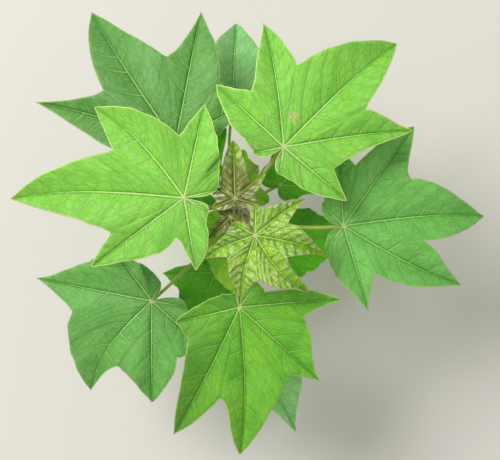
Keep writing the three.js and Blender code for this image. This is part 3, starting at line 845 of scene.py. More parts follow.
    def place(self, x, y, offset):
        """Points of the whole plant's frame, in metres, at one offset."""
        return self.skins(x, y, [offset])[0]


# Meshes and how they are tied to the solids


def new_object(name, mesh):
    """An object of that mesh at the origin of the scene."""
    piece = bpy.data.objects.new(name, mesh)
    bpy.context.scene.collection.objects.link(piece)
    return piece


def dress(piece, slot, *nodes):
    """Ties a finished piece to the plant's body and hides the solids that it stands for; its slot is not
    used.
    """
    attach(piece, BODY)
    if nodes:
        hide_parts(*nodes)
    return piece


def blade_slot(leaf):
    """The material slot of a blade: of the lower leaves, the full ones over them, or the young ones."""
    rank = int(leaf["name"])
    if rank <= LAST_OLD_LEAF:
        return "old_blade"
    return "blade" if rank <= LAST_FULL_LEAF else "young_blade"


def path_object(name, paths, values):
    """A mesh of loose lines. paths are arrays of points in metres, values the number kept at each point."""
    points, edges, kept = [], [], []
    for path, value in zip(paths, values):
        first = len(points)
        points += [tuple(point) for point in path]
        kept += [float(v) for v in value]
        edges += [(first + i, first + i + 1) for i in range(len(path) - 1)]
    mesh = bpy.data.meshes.new(name)
    mesh.from_pydata(points, edges, [])
    thickness = mesh.attributes.new("thickness", "FLOAT", "POINT")
    thickness.data.foreach_set("value", kept)
    return new_object(name, mesh)


def run_tree(piece, tree, **values):
    """Gives a piece a Geometry Nodes modifier with its inputs, and keeps only the mesh that comes out."""
    modifier = piece.modifiers.new(tree.name, "NODES")
    modifier.node_group = tree
    sockets = {
        item.name: item.identifier
        for item in tree.interface.items_tree
        if item.item_type == "SOCKET" and item.in_out == "INPUT"
    }
    for name, value in values.items():
        modifier[sockets[name.replace("_", " ")]] = value
    piece.update_tag()
    graph = bpy.context.evaluated_depsgraph_get()
    shown = piece.evaluated_get(graph)
    result = bpy.data.meshes.new_from_object(shown, preserve_all_data_layers=True, depsgraph=graph)
    if not len(result.polygons):
        raise RuntimeError(piece.name + " came out empty")
    piece.modifiers.clear()
    old, piece.data = piece.data, result
    result.name = piece.name
    bpy.data.meshes.remove(old)
    return piece


# Short names for nodes


def add_node(tree, kind, inputs=(), **settings):
    """Adds a node. inputs are (name or number, value or socket) pairs."""
    node = tree.nodes.new(kind)
    for name, value in settings.items():
        setattr(node, name, value)
    for key, value in inputs:
        socket = node.inputs[key]
        if isinstance(value, bpy.types.NodeSocket):
            tree.links.new(value, socket)
        else:
            socket.default_value = value
    return node


def maths(tree, operation, *values, clamp=False):
    """A number worked out from others."""
    pairs = list(enumerate(values))
    return add_node(tree, "ShaderNodeMath", pairs, operation=operation, use_clamp=clamp).outputs[0]


def times(tree, *values, clamp=False):
    return maths(tree, "MULTIPLY", *values, clamp=clamp)


def plus(tree, *values, clamp=False):
    return maths(tree, "ADD", *values, clamp=clamp)


def minus(tree, *values):
    return maths(tree, "SUBTRACT", *values)


def larger(tree, *values):
    return maths(tree, "MAXIMUM", *values)


def vectors(tree, operation, *values):
    """A vector or a number worked out from vectors."""
    node = add_node(tree, "ShaderNodeVectorMath", list(enumerate(values)), operation=operation)
    return node.outputs["Value" if operation in ("LENGTH", "DISTANCE", "DOT_PRODUCT") else "Vector"]


def scaled(tree, vector, factor):
    pairs = [(0, vector), ("Scale", factor)]
    return add_node(tree, "ShaderNodeVectorMath", pairs, operation="SCALE").outputs[0]


def band(tree, value, low, high, to_low=0.0, to_high=1.0):
    """A smooth step from to_low to to_high as value goes from low to high."""
    pairs = [
        ("Value", value), ("From Min", low), ("From Max", high), ("To Min", to_low), ("To Max", to_high),
    ]
    node = add_node(tree, "ShaderNodeMapRange", pairs, interpolation_type="SMOOTHSTEP")
    return node.outputs["Result"]


def mixed(tree, factor, a, b):
    """Colour a where factor is 0 and colour b where it is 1."""
    return add_node(tree, "ShaderNodeMix", [(0, factor), (6, a), (7, b)], data_type="RGBA").outputs[2]


def parts_of(tree, vector):
    return add_node(tree, "ShaderNodeSeparateXYZ", [(0, vector)]).outputs


def joined(tree, x, y, z):
    return add_node(tree, "ShaderNodeCombineXYZ", [(0, x), (1, y), (2, z)]).outputs[0]


def noise(tree, place, scale, detail=3.0, roughness=0.5, distortion=0.0):
    """Noise from 0 to 1, with that many cells in a metre."""
    pairs = [
        ("Vector", place), ("Scale", scale), ("Detail", detail), ("Roughness", roughness),
        ("Distortion", distortion),
    ]
    return add_node(tree, "ShaderNodeTexNoise", pairs).outputs["Fac"]


def rgba(value):
    """An opaque colour."""
    return (value[0], value[1], value[2], 1.0)


def new_group(name, kind, inputs, outputs):
    """A node group and its inputs, from inputs (name, type, default) and outputs (name, type)."""
    tree = bpy.data.node_groups.new(name, kind)
    for text, socket, default in inputs:
        made = tree.interface.new_socket(text, in_out="INPUT", socket_type=socket)
        if default is not None:
            made.default_value = default
    for text, socket in outputs:
        tree.interface.new_socket(text, in_out="OUTPUT", socket_type=socket)
    return tree, tree.nodes.new("NodeGroupInput").outputs


def close_group(tree, **results):
    """Joins the results to the outputs of a group."""
    end = tree.nodes.new("NodeGroupOutput")
    for name, socket in results.items():
        tree.links.new(socket, end.inputs[name.replace("_", " ")])
    return tree


def group(name, make):
    """The node group of that name, made the first time that it is asked for."""
    return bpy.data.node_groups.get(name) or make()


def place_group(tree, inner, inputs):
    """Adds a node group to a material and gives its outputs."""
    return add_node(tree, "ShaderNodeGroup", inputs, node_tree=inner).outputs


# Geometry Nodes trees


def new_shape_group(name, *settings):
    """A Geometry Nodes tree that takes a geometry, its own settings and a material."""
    inputs = [("Geometry", GEOMETRY, None), *settings, ("Material", "NodeSocketMaterial", None)]
    return new_group(name, "GeometryNodeTree", inputs, [("Geometry", GEOMETRY)])


def finish_tree(tree, geometry, material):
    """Smooths a geometry, makes its instances real, gives it its material and hands it out."""
    smoothed = add_node(tree, "GeometryNodeSetShadeSmooth", [("Geometry", geometry)])
    real = add_node(tree, "GeometryNodeRealizeInstances", [("Geometry", smoothed.outputs[0])])
    pairs = [("Geometry", real.outputs[0]), ("Material", material)]
    painted = add_node(tree, "GeometryNodeSetMaterial", pairs)
    return close_group(tree, Geometry=painted.outputs[0])


def named_value(tree, name, kind="FLOAT"):
    """The value kept at each point under a name."""
    node = add_node(tree, "GeometryNodeInputNamedAttribute", [("Name", name)], data_type=kind)
    return node.outputs["Attribute"]


def stored(tree, geometry, name, value, kind):
    """A geometry that keeps a value at each point under a name."""
    pairs = [("Geometry", geometry), ("Name", name), ("Value", value)]
    node = add_node(tree, "GeometryNodeStoreNamedAttribute", pairs, data_type=kind, domain="POINT")
    return node.outputs[0]


def position(tree):
    return add_node(tree, "GeometryNodeInputPosition").outputs[0]


def even_curve(tree, given):
    """The lines that come in, as curves with even steps."""
    curve = add_node(tree, "GeometryNodeMeshToCurve", [("Mesh", given["Geometry"])]).outputs[0]
    pairs = [("Curve", curve), ("Length", given["Step"])]
    return add_node(tree, "GeometryNodeResampleCurve", pairs, mode="LENGTH").outputs[0]


def swept(tree, curve, sides):
    """Closed tubes along curves, as thick at each point as its thickness says."""
    pairs = [("Resolution", sides), ("Radius", 1.0)]
    ring = add_node(tree, "GeometryNodeCurvePrimitiveCircle", pairs).outputs[0]
    thickness = named_value(tree, "thickness")
    pairs = [("Curve", curve), ("Profile Curve", ring), ("Scale", thickness), ("Fill Caps", True)]
    return add_node(tree, "GeometryNodeCurveToMesh", pairs).outputs[0]


def random_vector(tree, low, high, seed):
    """A different vector for each instance."""
    pairs = [("Min", low), ("Max", high), ("Seed", seed)]
    return add_node(tree, "FunctionNodeRandomValue", pairs, data_type="FLOAT_VECTOR").outputs["Value"]


def tube_tree():
    """Lines become round tubes with a faint grain."""
    tree, given = new_shape_group(
        "Tapered tubes", ("Step", NUMBER, 0.002), ("Sides", WHOLE, 8), ("Grain", NUMBER, 0.0),
    )
    share = add_node(tree, "GeometryNodeSplineParameter").outputs["Factor"]
    curve = stored(tree, even_curve(tree, given), "along", share, "FLOAT")
    tube = swept(tree, curve, given["Sides"])
    normal = add_node(tree, "GeometryNodeInputNormal").outputs[0]
    grain = minus(tree, noise(tree, position(tree), TUBE_GRAIN, 2.0), 0.5)
    shift = scaled(tree, normal, times(tree, grain, given["Grain"]))
    tube = add_node(tree, "GeometryNodeSetPosition", [("Geometry", tube), ("Offset", shift)]).outputs[0]
    return finish_tree(tree, tube, given["Material"])


def stem_tree():
    """A line becomes the stem's skin: ridged, swollen near a second object's points, flat at its foot."""
    tree, given = new_shape_group(
        "Stem skin", ("Step", NUMBER, 0.0014), ("Sides", WHOLE, 72), ("Ridge depth", NUMBER, 0.0005),
        ("Swell", NUMBER, 0.0016), ("Swell reach", NUMBER, 0.006), ("Feet", "NodeSocketObject", None),
    )
    curve = stored(tree, even_curve(tree, given), "middle", position(tree), "FLOAT_VECTOR")
    skin = swept(tree, curve, given["Sides"])
    place = position(tree)
    out = vectors(tree, "SUBTRACT", place, named_value(tree, "middle", "FLOAT_VECTOR"))
    out = vectors(tree, "NORMALIZE", vectors(tree, "MULTIPLY", out, (1, 1, 0)))
    feet = add_node(tree, "GeometryNodeObjectInfo", [("Object", given["Feet"])]).outputs["Geometry"]
    pairs = [("Target", feet), ("Source Position", place)]
    near = add_node(tree, "GeometryNodeProximity", pairs, target_element="POINTS")
    share = maths(tree, "DIVIDE", near.outputs["Distance"], given["Swell reach"])
    bump = maths(tree, "EXPONENT", times(tree, times(tree, share, share), -1.0))
    swell = times(tree, bump, given["Swell"])
    stretched = vectors(tree, "MULTIPLY", place, (1, 1, 0.16))
    ridge = minus(tree, noise(tree, stretched, STEM_RIDGES, 3.0, 0.55), 0.5)
    fine = minus(tree, noise(tree, place, STEM_GRAIN, 2.0), 0.5)
    relief = times(tree, plus(tree, ridge, times(tree, fine, 0.3)), given["Ridge depth"])
    shift = scaled(tree, out, plus(tree, swell, relief))
    x, y, z = (parts_of(tree, place)[axis] for axis in "XYZ")
    flat = joined(tree, x, y, times(tree, z, maths(tree, "GREATER_THAN", z, FOOT_LEVEL)))
    pairs = [("Geometry", skin), ("Position", flat), ("Offset", shift)]
    skin = add_node(tree, "GeometryNodeSetPosition", pairs).outputs[0]
    return finish_tree(tree, skin, given["Material"])


def pore_tree():
    """Small flattened beads scattered over a surface above a height, longer upwards than across."""
    tree, given = new_shape_group(
        "Scattered pores", ("Density", NUMBER, 9000.0), ("Size", NUMBER, 0.0005), ("Apart", NUMBER, 0.003),
        ("Lowest", NUMBER, 0.006), ("Seed", WHOLE, 1),
    )
    pairs = [(0, parts_of(tree, position(tree))["Z"]), (1, given["Lowest"])]
    high = add_node(tree, "FunctionNodeCompare", pairs, operation="GREATER_THAN").outputs["Result"]
    pairs = [
        ("Mesh", given["Geometry"]), ("Selection", high), ("Distance Min", given["Apart"]),
        ("Density Max", given["Density"]), ("Seed", given["Seed"]),
    ]
    points = add_node(tree, "GeometryNodeDistributePointsOnFaces", pairs, distribute_method="POISSON")
    pairs = [("Segments", 8), ("Rings", 4), ("Radius", given["Size"])]
    bead = add_node(tree, "GeometryNodeMeshUVSphere", pairs).outputs["Mesh"]
    size = random_vector(tree, (0.6, 0.6, 1.0), (0.9, 0.9, 2.4), given["Seed"])
    pairs = [("Points", points.outputs["Points"]), ("Instance", bead), ("Scale", size)]
    beads = add_node(tree, "GeometryNodeInstanceOnPoints", pairs).outputs[0]
    return finish_tree(tree, beads, given["Material"])


def hair_tree():
    """Short tapering hairs that stand on a surface."""
    tree, given = new_shape_group(
        "Scattered hairs", ("Density", NUMBER, 900000.0), ("Length", NUMBER, 0.0012),
        ("Radius", NUMBER, 0.00006), ("Seed", WHOLE, 1),
    )
    pairs = [("Mesh", given["Geometry"]), ("Density", given["Density"]), ("Seed", given["Seed"])]
    points = add_node(tree, "GeometryNodeDistributePointsOnFaces", pairs)
    pairs = [
        ("Vertices", 3), ("Radius Top", 0.00001), ("Radius Bottom", given["Radius"]),
        ("Depth", given["Length"]),
    ]
    hair = add_node(tree, "GeometryNodeMeshCone", pairs).outputs["Mesh"]
    lean = random_vector(tree, (-0.4, -0.4, -0.4), (0.4, 0.4, 0.9), given["Seed"])
    way = vectors(tree, "ADD", points.outputs["Normal"], lean)
    turn = add_node(tree, "FunctionNodeAlignRotationToVector", [("Vector", way)], axis="Z").outputs[0]
    pairs = [("Points", points.outputs["Points"]), ("Instance", hair), ("Rotation", turn)]
    hairs = add_node(tree, "GeometryNodeInstanceOnPoints", pairs).outputs[0]
    return finish_tree(tree, hairs, given["Material"])


# Node groups that the materials share


def voronoi_lines(tree, place, high):
    """Lines between the cells of a net."""
    pairs = [("Vector", place), ("Scale", 1.0)]
    gap = add_node(tree, "ShaderNodeTexVoronoi", pairs, feature="DISTANCE_TO_EDGE").outputs["Distance"]
    return band(tree, gap, 0.0, high, 1.0, 0.0)


def vein_group():
    """Masks of a leaf's veins, of the painted shade beside them and of painted glints, from its lobe, rib
    and rim maps, which hold metres and vein numbers.
    """
    masks = ("Main", "Side", "Line", "Net", "Groove", "Edge", "Glint", "Height")
    tree, given = new_group(
        "Leaf veins", "ShaderNodeTree",
        [
            ("Lobe", VECTOR, None), ("Ribs", VECTOR, None), ("Rim", VECTOR, None),
            ("Main width", NUMBER, 0.0016), ("Side width", NUMBER, 0.0008), ("Rim width", NUMBER, 0.0006),
        ],
        [(name, NUMBER) for name in masks],
    )
    lobe, ribs, rim = (parts_of(tree, given[name]) for name in ("Lobe", "Ribs", "Rim"))
    off = maths(tree, "ABSOLUTE", lobe["Y"])

    # The main vein of a lobe, thinner towards its tip, and the painted shade in the groove on both sides of
    # it
    taper = band(tree, rim["Y"], 0.0, 0.95, 1.0, 0.12)
    half = times(tree, times(tree, given["Main width"], 0.5), taper)
    main = band(tree, off, half, plus(tree, half, VEIN_SOFTNESS), 1.0, 0.0)
    main = times(tree, main, band(tree, rim["Y"], 0.55, 1.0, 1.0, 0.25))
    groove_in = band(tree, off, half, plus(tree, half, GROOVE_NEAR))
    groove_out = band(tree, off, plus(tree, half, GROOVE_NEAR), plus(tree, half, GROOVE_FAR), 1.0, 0.0)
    groove = times(tree, groove_in, groove_out)

    # Side veins: how far off the nearest one is, and how pale it is there. Where it isn't pale it is painted
    # dark, as shade in its groove, and painted shade lies beside it too
    near = maths(tree, "ABSOLUTE", minus(tree, ribs["X"], maths(tree, "ROUND", ribs["X"])))
    away = times(tree, near, times(tree, ribs["Y"], 0.77))
    pale = times(tree, band(tree, off, 0.001, 0.036, 1.0, 0.2), band(tree, rim["Y"], 0.5, 0.95, 1.0, 0.25))
    side_half = times(tree, given["Side width"], band(tree, off, 0.0, 0.03, 0.48, 0.24))
    line = band(tree, away, side_half, plus(tree, side_half, GROOVE_NEAR), 1.0, 0.0)
    line = times(tree, line, band(tree, ribs["X"], -1.6, -0.4, 0.3, 1.0))

    # Some side veins and some stretches of them are fainter, and all fade just inside the edge
    which = joined(tree, maths(tree, "ROUND", ribs["X"]), maths(tree, "SIGN", lobe["Y"]), 0.0)
    chance = add_node(tree, "ShaderNodeTexWhiteNoise", [("Vector", which)]).outputs["Value"]
    patchy = band(tree, noise(tree, given["Lobe"], 28.0, 1.0), 0.35, 0.65, 0.7, 1.0)
    line = times(tree, line, times(tree, patchy, band(tree, chance, 0.0, 0.8, 0.5, 1.0)))
    line = times(tree, line, band(tree, rim["X"], 0.0006, 0.006, 0.1, 1.0))
    side = times(tree, line, pale)
    dark = times(tree, line, minus(tree, 1.0, pale))
    beside = band(tree, away, side_half, plus(tree, side_half, SIDE_GROOVE_FAR), 1.0, 0.0)
    dark = larger(tree, dark, times(tree, beside, 0.38))

    # The net between the side veins, a coarse one and a fine one, and the cells that get a painted glint, a
    # highlight
    across = maths(tree, "DIVIDE", lobe["Y"], larger(tree, ribs["Y"], 0.002))
    wander = noise(tree, given["Lobe"], 90.0, 2.0)
    cells = joined(tree, times(tree, ribs["X"], 2.6), times(tree, across, 3.4), wander)
    net = voronoi_lines(tree, cells, 0.22)
    fine = voronoi_lines(tree, vectors(tree, "MULTIPLY", cells, (3.0, 3.0, 1.0)), 0.3)
    net = plus(tree, times(tree, net, 0.65), times(tree, fine, 0.35), clamp=True)
    puckers = joined(tree, times(tree, ribs["X"], 2.0), times(tree, across, 2.2), wander)
    cell = add_node(tree, "ShaderNodeTexVoronoi", [("Vector", puckers), ("Scale", 1.0)])
    lit = band(tree, parts_of(tree, cell.outputs["Color"])["X"], 0.15, 0.6)
    painted_glint = times(tree, lit, band(tree, cell.outputs["Distance"], 0.25, 0.75, 1.0, 0.0))

    # The rim, the relief of all of it, and the painted shade of the grooves and dark lines together
    edge = band(tree, rim["X"], times(tree, given["Rim width"], 0.5), given["Rim width"], 1.0, 0.0)
    height = plus(tree, times(tree, net, -0.6), times(tree, line, -0.7))
    height = plus(tree, height, times(tree, groove, -0.9))
    groove = larger(tree, times(tree, groove, 0.6), times(tree, dark, 0.95))
    return close_group(
        tree, Main=main, Side=side, Line=beside, Net=net, Groove=groove, Edge=edge, Glint=painted_glint,
        Height=height,
    )


def mottle_group():
    """Cloudy and grainy variation of a skin."""
    tree, given = new_group(
        "Skin mottling", "ShaderNodeTree",
        [("Place", VECTOR, None), ("Cloud scale", NUMBER, 28.0), ("Grain scale", NUMBER, 900.0)],
        [("Cloud", NUMBER), ("Grain", NUMBER), ("Roughness", NUMBER)],
    )
    cloud = band(tree, noise(tree, given["Place"], given["Cloud scale"], 4.0, 0.55, 0.4), 0.3, 0.7)
    grain = noise(tree, given["Place"], given["Grain scale"], 3.0, 0.6)
    rough = plus(tree, times(tree, cloud, 0.08), times(tree, grain, 0.1))
    return close_group(tree, Cloud=cloud, Grain=grain, Roughness=rough)


def mottling(tree, place, **scales):
    """Cloud, grain and roughness of a skin at a place."""
    pairs = [("Place", place), *((name.replace("_", " "), value) for name, value in scales.items())]
    return place_group(tree, group("Skin mottling", mottle_group), pairs)


def spot_group():
    """A ragged round mask at a place of the blade's plane, with small holes, and where it is papery."""
    tree, given = new_group(
        "Ragged spot", "ShaderNodeTree",
        [("Plane", VECTOR, None), ("Centre", VECTOR, None), ("Radius", NUMBER, 0.003)],
        [("Mask", NUMBER), ("Papery", NUMBER)],
    )
    gap = vectors(tree, "DISTANCE", given["Plane"], given["Centre"])
    rough = noise(tree, given["Plane"], 700.0, 4.0, 0.7)
    ragged = times(tree, minus(tree, rough, 0.5), given["Radius"])
    edge = plus(tree, gap, times(tree, ragged, 2.4))
    whole = band(tree, edge, times(tree, given["Radius"], 0.75), given["Radius"], 1.0, 0.0)
    holes = band(tree, rough, 0.44, 0.54, 1.0, 0.1)
    papery = band(tree, noise(tree, given["Plane"], 1200.0, 2.0), 0.42, 0.54)
    return close_group(tree, Mask=times(tree, whole, holes), Papery=papery)


# Materials


def new_material(name):
    """A material, its node tree and its shader."""
    material = bpy.data.materials.new(name)
    material.use_nodes = True
    tree = material.node_tree
    shader = next(n for n in tree.nodes if n.type == "BSDF_PRINCIPLED")
    return material, tree, shader


def paint(tree, shader, skin, roughness, height, depth):
    """Gives a shader its colour, its roughness, and a relief that many metres deep."""
    bump = add_node(tree, "ShaderNodeBump", [("Strength", 1.0), ("Distance", depth), ("Height", height)])
    tree.links.new(skin, shader.inputs["Base Color"])
    tree.links.new(roughness, shader.inputs["Roughness"])
    tree.links.new(bump.outputs["Normal"], shader.inputs["Normal"])


def uv_map(tree, name):
    return add_node(tree, "ShaderNodeUVMap", uv_map=name).outputs["UV"]


def object_place(tree):
    return add_node(tree, "ShaderNodeTexCoord").outputs["Object"]


def blend(a, b, share):
    """Colour a with that share of colour b in it."""
    return [(1 - share) * p + share * q for p, q in zip(a, b)]


def leaf_greens(leaf, colours):
    """The lighter and the deeper green of a leaf, times its tone, which on the lower leaves paints in light.
    """
    tone, greens = leaf.get("tone", 1), FINISHES[leaf["finish"]]["greens"]
    pair = getattr(colours, greens + "_light"), getattr(colours, greens + "_deep")
    return [[min(1, tone * part) for part in green] for green in pair]


def painted_side_shade(tree, leaf, plane, cloud, skin, groove):
    """A skin with painted shade that darkens it toward one side, on the leaves that have it."""
    if leaf["name"] not in PAINTED_SHADE_SIDES:
        return skin
    way, start, end, dark = PAINTED_SHADE_SIDES[leaf["name"]]
    across = vectors(tree, "DOT_PRODUCT", plane, (*way, 0))
    across = plus(tree, across, times(tree, cloud["Cloud"], 0.004))
    share = band(tree, across, start * MM, end * MM, 0.0, dark)
    return mixed(tree, share, skin, rgba([0.3 * part for part in groove[:3]]))


def blushed(tree, finish, colours, maps, shifted, skin):
    """A young skin, red-brown near its edge and in specks, less so by the main veins."""
    share = finish["blush"]
    if not share:
        return skin
    reach = band(tree, parts_of(tree, maps["Rim"])["X"], 0.0, 0.0008 + 0.008 * share, 1.0, 0.0)
    specks = band(tree, noise(tree, shifted, 900.0, 3.0, 0.7), 0.44, 0.6, 0.0, 1.2 * share)
    ragged = plus(tree, reach, specks)
    off = maths(tree, "ABSOLUTE", parts_of(tree, maps["Lobe"])["Y"])
    beside = band(tree, off, 0.0, 0.005, 0.35, 1.0)
    ragged = times(tree, times(tree, ragged, beside), 0.25 + 0.65 * share, clamp=True)
    # The blush has painted sheen mixed into it, a highlight on the red-brown
    return mixed(tree, ragged, skin, rgba(blend(colours.blush, colours.painted_sheen, 0.6 * finish["painted_sheen"])))


def bright_tips(tree, finish, colours, maps, swell, skin):
    """A young skin that turns pale green towards the tips of its lobes, paler with painted sheen on the
    swellings there and deeper green in the hollows.
    """
    if not finish["tips"]:
        return skin
    tip = band(tree, parts_of(tree, maps["Rim"])["Y"], 0.4, 0.85, 0.0, finish["tips"])
    pale = rgba(blend(colours.young_light, colours.painted_sheen, 0.4))
    green = mixed(tree, band(tree, swell, 0.2, 0.7), rgba(colours.young_deep), pale)
    return mixed(tree, tip, skin, green)


def with_painted_sheen(tree, finish, colours, maps, painted_glint, shifted, swell, skin):
    """A skin with a painted sheen: a highlight painted on its swellings."""
    # Painted highlight on glinting cells and in patches, and by the stalk on finishes with a base share
    sheen = larger(tree, painted_glint, band(tree, noise(tree, shifted, 260.0, 2.0), 0.44, 0.56, 0.0, 0.9))
    if finish["base"]:
        near = band(tree, parts_of(tree, maps["Plane"])["X"], 0.003, 0.015, 1.0, 0.0)
        sheen = larger(tree, times(tree, sheen, 1.0 - finish["base"]), near)
    crest = times(tree, band(tree, swell, 0.25, 0.7), sheen)
    painted_sheen = rgba(blend(colours.painted_sheen, colours.blush, 0.25 * finish["blush"]))
    return mixed(tree, times(tree, crest, min(1, 1.6 * finish["painted_sheen"])), skin, painted_sheen)


def spotted(tree, leaf, colours, plane, skin):
    """A skin with the brown spots and papery patches of its leaf."""
    for (x, y), radius in SPOTS.get(leaf["name"], []):
        pairs = [("Plane", plane), ("Centre", (x * MM, y * MM, 0.0)), ("Radius", radius * MM)]
        spot = place_group(tree, group("Ragged spot", spot_group), pairs)
        dry = mixed(tree, spot["Papery"], rgba(colours.scorch), rgba(colours.papery))
        skin = mixed(tree, times(tree, spot["Mask"], 0.95), skin, dry)
    return skin


def blade_material(leaf, colours, under):
    """The upper skin of one leaf, or its underside."""
    finish = FINISHES[leaf["finish"]]
    share, hollow_shade = finish["blush"], finish["hollow_shade"]
    face = " underside" if under else " upper side"
    material, tree, shader = new_material("Leaf " + leaf["name"] + face)
    maps = {name: uv_map(tree, name) for name in MAPS}
    plane = maps["Plane"]
    size = min(1.0, leaf_length(leaf) / GROWN_LENGTH)
    veins = place_group(tree, group("Leaf veins", vein_group), [
        ("Lobe", maps["Lobe"]), ("Ribs", maps["Ribs"]), ("Rim", maps["Rim"]),
        ("Main width", 0.0006 + 0.0008 * size * finish["ribs"]), ("Side width", 0.0004 + 0.0004 * size),
        ("Rim width", 0.0005 + 0.0005 * size),
    ])
    number = int(leaf["name"])
    shifted = vectors(tree, "ADD", plane, (0.37 * number, 0.11 * number, 0.0))
    cloud = mottling(tree, shifted)

    # Two greens in clouds, warmer patches, painted shade in the hollows between the swellings, and darker
    # grain
    light, deep = (rgba(part) for part in leaf_greens(leaf, colours))
    skin = mixed(tree, cloud["Cloud"], light, deep)
    swell = parts_of(tree, maps["Swell"])["X"]
    groove = rgba([(1 - share) * part for part in blend(colours.groove, colours.blush, 1.8 * share**2)])
    sunken = mixed(tree, 0.5, deep, groove)
    if finish["warm"]:
        patch = band(tree, noise(tree, shifted, 34.0, 2.0), 0.42, 0.62, 0.0, finish["warm"])
        skin = mixed(tree, patch, skin, rgba(blend(light, colours.young_deep, 0.7)))
    uneven = band(tree, noise(tree, shifted, 160.0, 2.0, 0.5, 0.6), 0.4, 0.6, 0.1, 1.0)
    # Painted shade: the hollows between the swellings darkened, in patches
    low = times(tree, band(tree, swell, 0.1, 0.6, 0.95 * hollow_shade, 0.0), uneven)
    skin = mixed(tree, low, skin, sunken)
    skin = mixed(tree, band(tree, cloud["Grain"], 0.42, 0.62, 0.0, GRAIN_SHARE), skin, sunken)
    skin = painted_side_shade(tree, leaf, plane, cloud, skin, groove)
    skin = blushed(tree, finish, colours, maps, shifted, skin)
    skin = bright_tips(tree, finish, colours, maps, swell, skin)
    skin = with_painted_sheen(tree, finish, colours, maps, veins["Glint"], shifted, swell, skin)

    # Veins with painted shade beside them, the net between them in the same dark green, the rim and the spot
    # over the stalk
    line = times(tree, times(tree, veins["Line"], uneven), max(0.0, hollow_shade - 0.4))
    skin = mixed(tree, line, skin, groove)
    skin = mixed(tree, times(tree, veins["Net"], 0.12 + 0.5 * hollow_shade), skin, groove)
    skin = mixed(tree, times(tree, veins["Groove"], 0.5), skin, groove)
    vein = rgba(blend(light, colours.vein, finish["veins"]))
    pale = rgba(blend(light, colours.vein, 0.85 * finish["veins"]))
    skin = mixed(tree, times(tree, veins["Side"], 1.0 - 0.8 * hollow_shade), skin, pale)
    skin = mixed(tree, times(tree, veins["Main"], 0.9), skin, vein)
    margin = rgba(blend(colours.rim, colours.blush, min(0.8, 2.5 * share)))
    skin = mixed(tree, times(tree, veins["Edge"], finish["rim"]), skin, margin)
    hub = vectors(tree, "LENGTH", plane)
    skin = mixed(tree, band(tree, hub, 0.0008, 0.0032, 0.75, 0.0), skin, rgba(colours.hub))
    skin = spotted(tree, leaf, colours, plane, skin)
    if under:
        skin = mixed(tree, 0.55, skin, rgba(colours.under))
    shader.inputs["Specular IOR Level"].default_value = 0.2 if under else finish["shine"]
    roughness = plus(tree, cloud["Roughness"], finish["roughness"] + (0.18 if under else 0.0))
    height = plus(tree, veins["Height"], times(tree, cloud["Grain"], 0.3))
    paint(tree, shader, skin, roughness, height, BLADE_RELIEF)
    return material


def vein_material(leaf, colours):
    """Ribs of a leaf: pale by the hub and greener towards their ends."""
    finish = FINISHES[leaf["finish"]]
    material, tree, shader = new_material("Leaf " + leaf["name"] + " ribs")
    cloud = mottling(tree, object_place(tree), Cloud_scale=90.0)
    along = add_node(tree, "ShaderNodeAttribute", attribute_name="along").outputs["Fac"]
    green = rgba(leaf_greens(leaf, colours)[0])
    skin = mixed(tree, band(tree, along, 0.15, 1.0, 0.0, 0.75), rgba(colours.vein), green)
    skin = mixed(tree, times(tree, cloud["Cloud"], 0.45 * (1.2 - finish["veins"])), skin, green)
    if finish["blush"]:
        tinge = times(tree, cloud["Grain"], finish["blush"] * 0.35)
        skin = mixed(tree, tinge, skin, rgba(colours.blush))
    paint(tree, shader, skin, plus(tree, cloud["Roughness"], 0.4), cloud["Grain"], RIB_RELIEF)
    return material


def stalk_material(colours):
    """Olive skin, redder near the stem and at the hub, with a pale grain."""
    material, tree, shader = new_material("Leaf stalk skin")
    cloud = mottling(tree, object_place(tree), Cloud_scale=70.0)
    along = add_node(tree, "ShaderNodeAttribute", attribute_name="along").outputs["Fac"]
    ends = plus(tree, band(tree, along, 0.0, 0.35, 0.7, 0.15), band(tree, along, 0.93, 1.0, 0.0, 0.25))
    factor = times(tree, ends, plus(tree, cloud["Cloud"], 0.35), clamp=True)
    skin = mixed(tree, factor, rgba(colours.stalk), rgba(colours.stalk_red))
    skin = mixed(tree, times(tree, cloud["Grain"], 0.3), skin, rgba(colours.vein))
    paint(tree, shader, skin, plus(tree, cloud["Roughness"], 0.34), cloud["Grain"], STALK_RELIEF)
    return material


def stem_material(colours):
    """Soft green skin that turns grey-brown and cracked towards the ground."""
    material, tree, shader = new_material("Stem skin")
    place = object_place(tree)
    cloud = mottling(tree, place, Cloud_scale=60.0, Grain_scale=1200.0)
    height = parts_of(tree, place)["Z"]
    level = plus(tree, height, times(tree, minus(tree, cloud["Cloud"], 0.5), 0.05))
    bark = band(tree, level, *BARK_HEIGHTS, 1.0, 0.0)
    streak = noise(tree, vectors(tree, "MULTIPLY", place, (1, 1, 0.12)), 700.0, 3.0, 0.6)
    skin = mixed(tree, bark, rgba(colours.stem_green), rgba(colours.stem_brown))
    dark = mixed(tree, 0.45, skin, (0.05, 0.05, 0.02, 1.0))
    skin = mixed(tree, band(tree, streak, 0.5, 0.72, 0.0, 0.6), skin, dark)
    skin = mixed(tree, times(tree, cloud["Grain"], 0.25), skin, rgba(colours.lenticel))
    relief = plus(tree, streak, times(tree, cloud["Grain"], 0.5))
    paint(tree, shader, skin, plus(tree, cloud["Roughness"], 0.5), relief, STEM_RELIEF)
    return material


def plain_skin(name, value, roughness, other=None):
    """A skin of one colour, clouded with another, or with a darker one of its own."""
    material, tree, shader = new_material(name)
    cloud = mottling(tree, object_place(tree), Cloud_scale=240.0)
    second = [part * 0.7 for part in value] if other is None else other
    skin = mixed(tree, cloud["Cloud"], rgba(value), rgba(second))
    rough = plus(tree, cloud["Roughness"], roughness)
    paint(tree, shader, skin, rough, cloud["Grain"], PLAIN_RELIEF)
    return material


# Meshes of the blades, their ribs and the bud


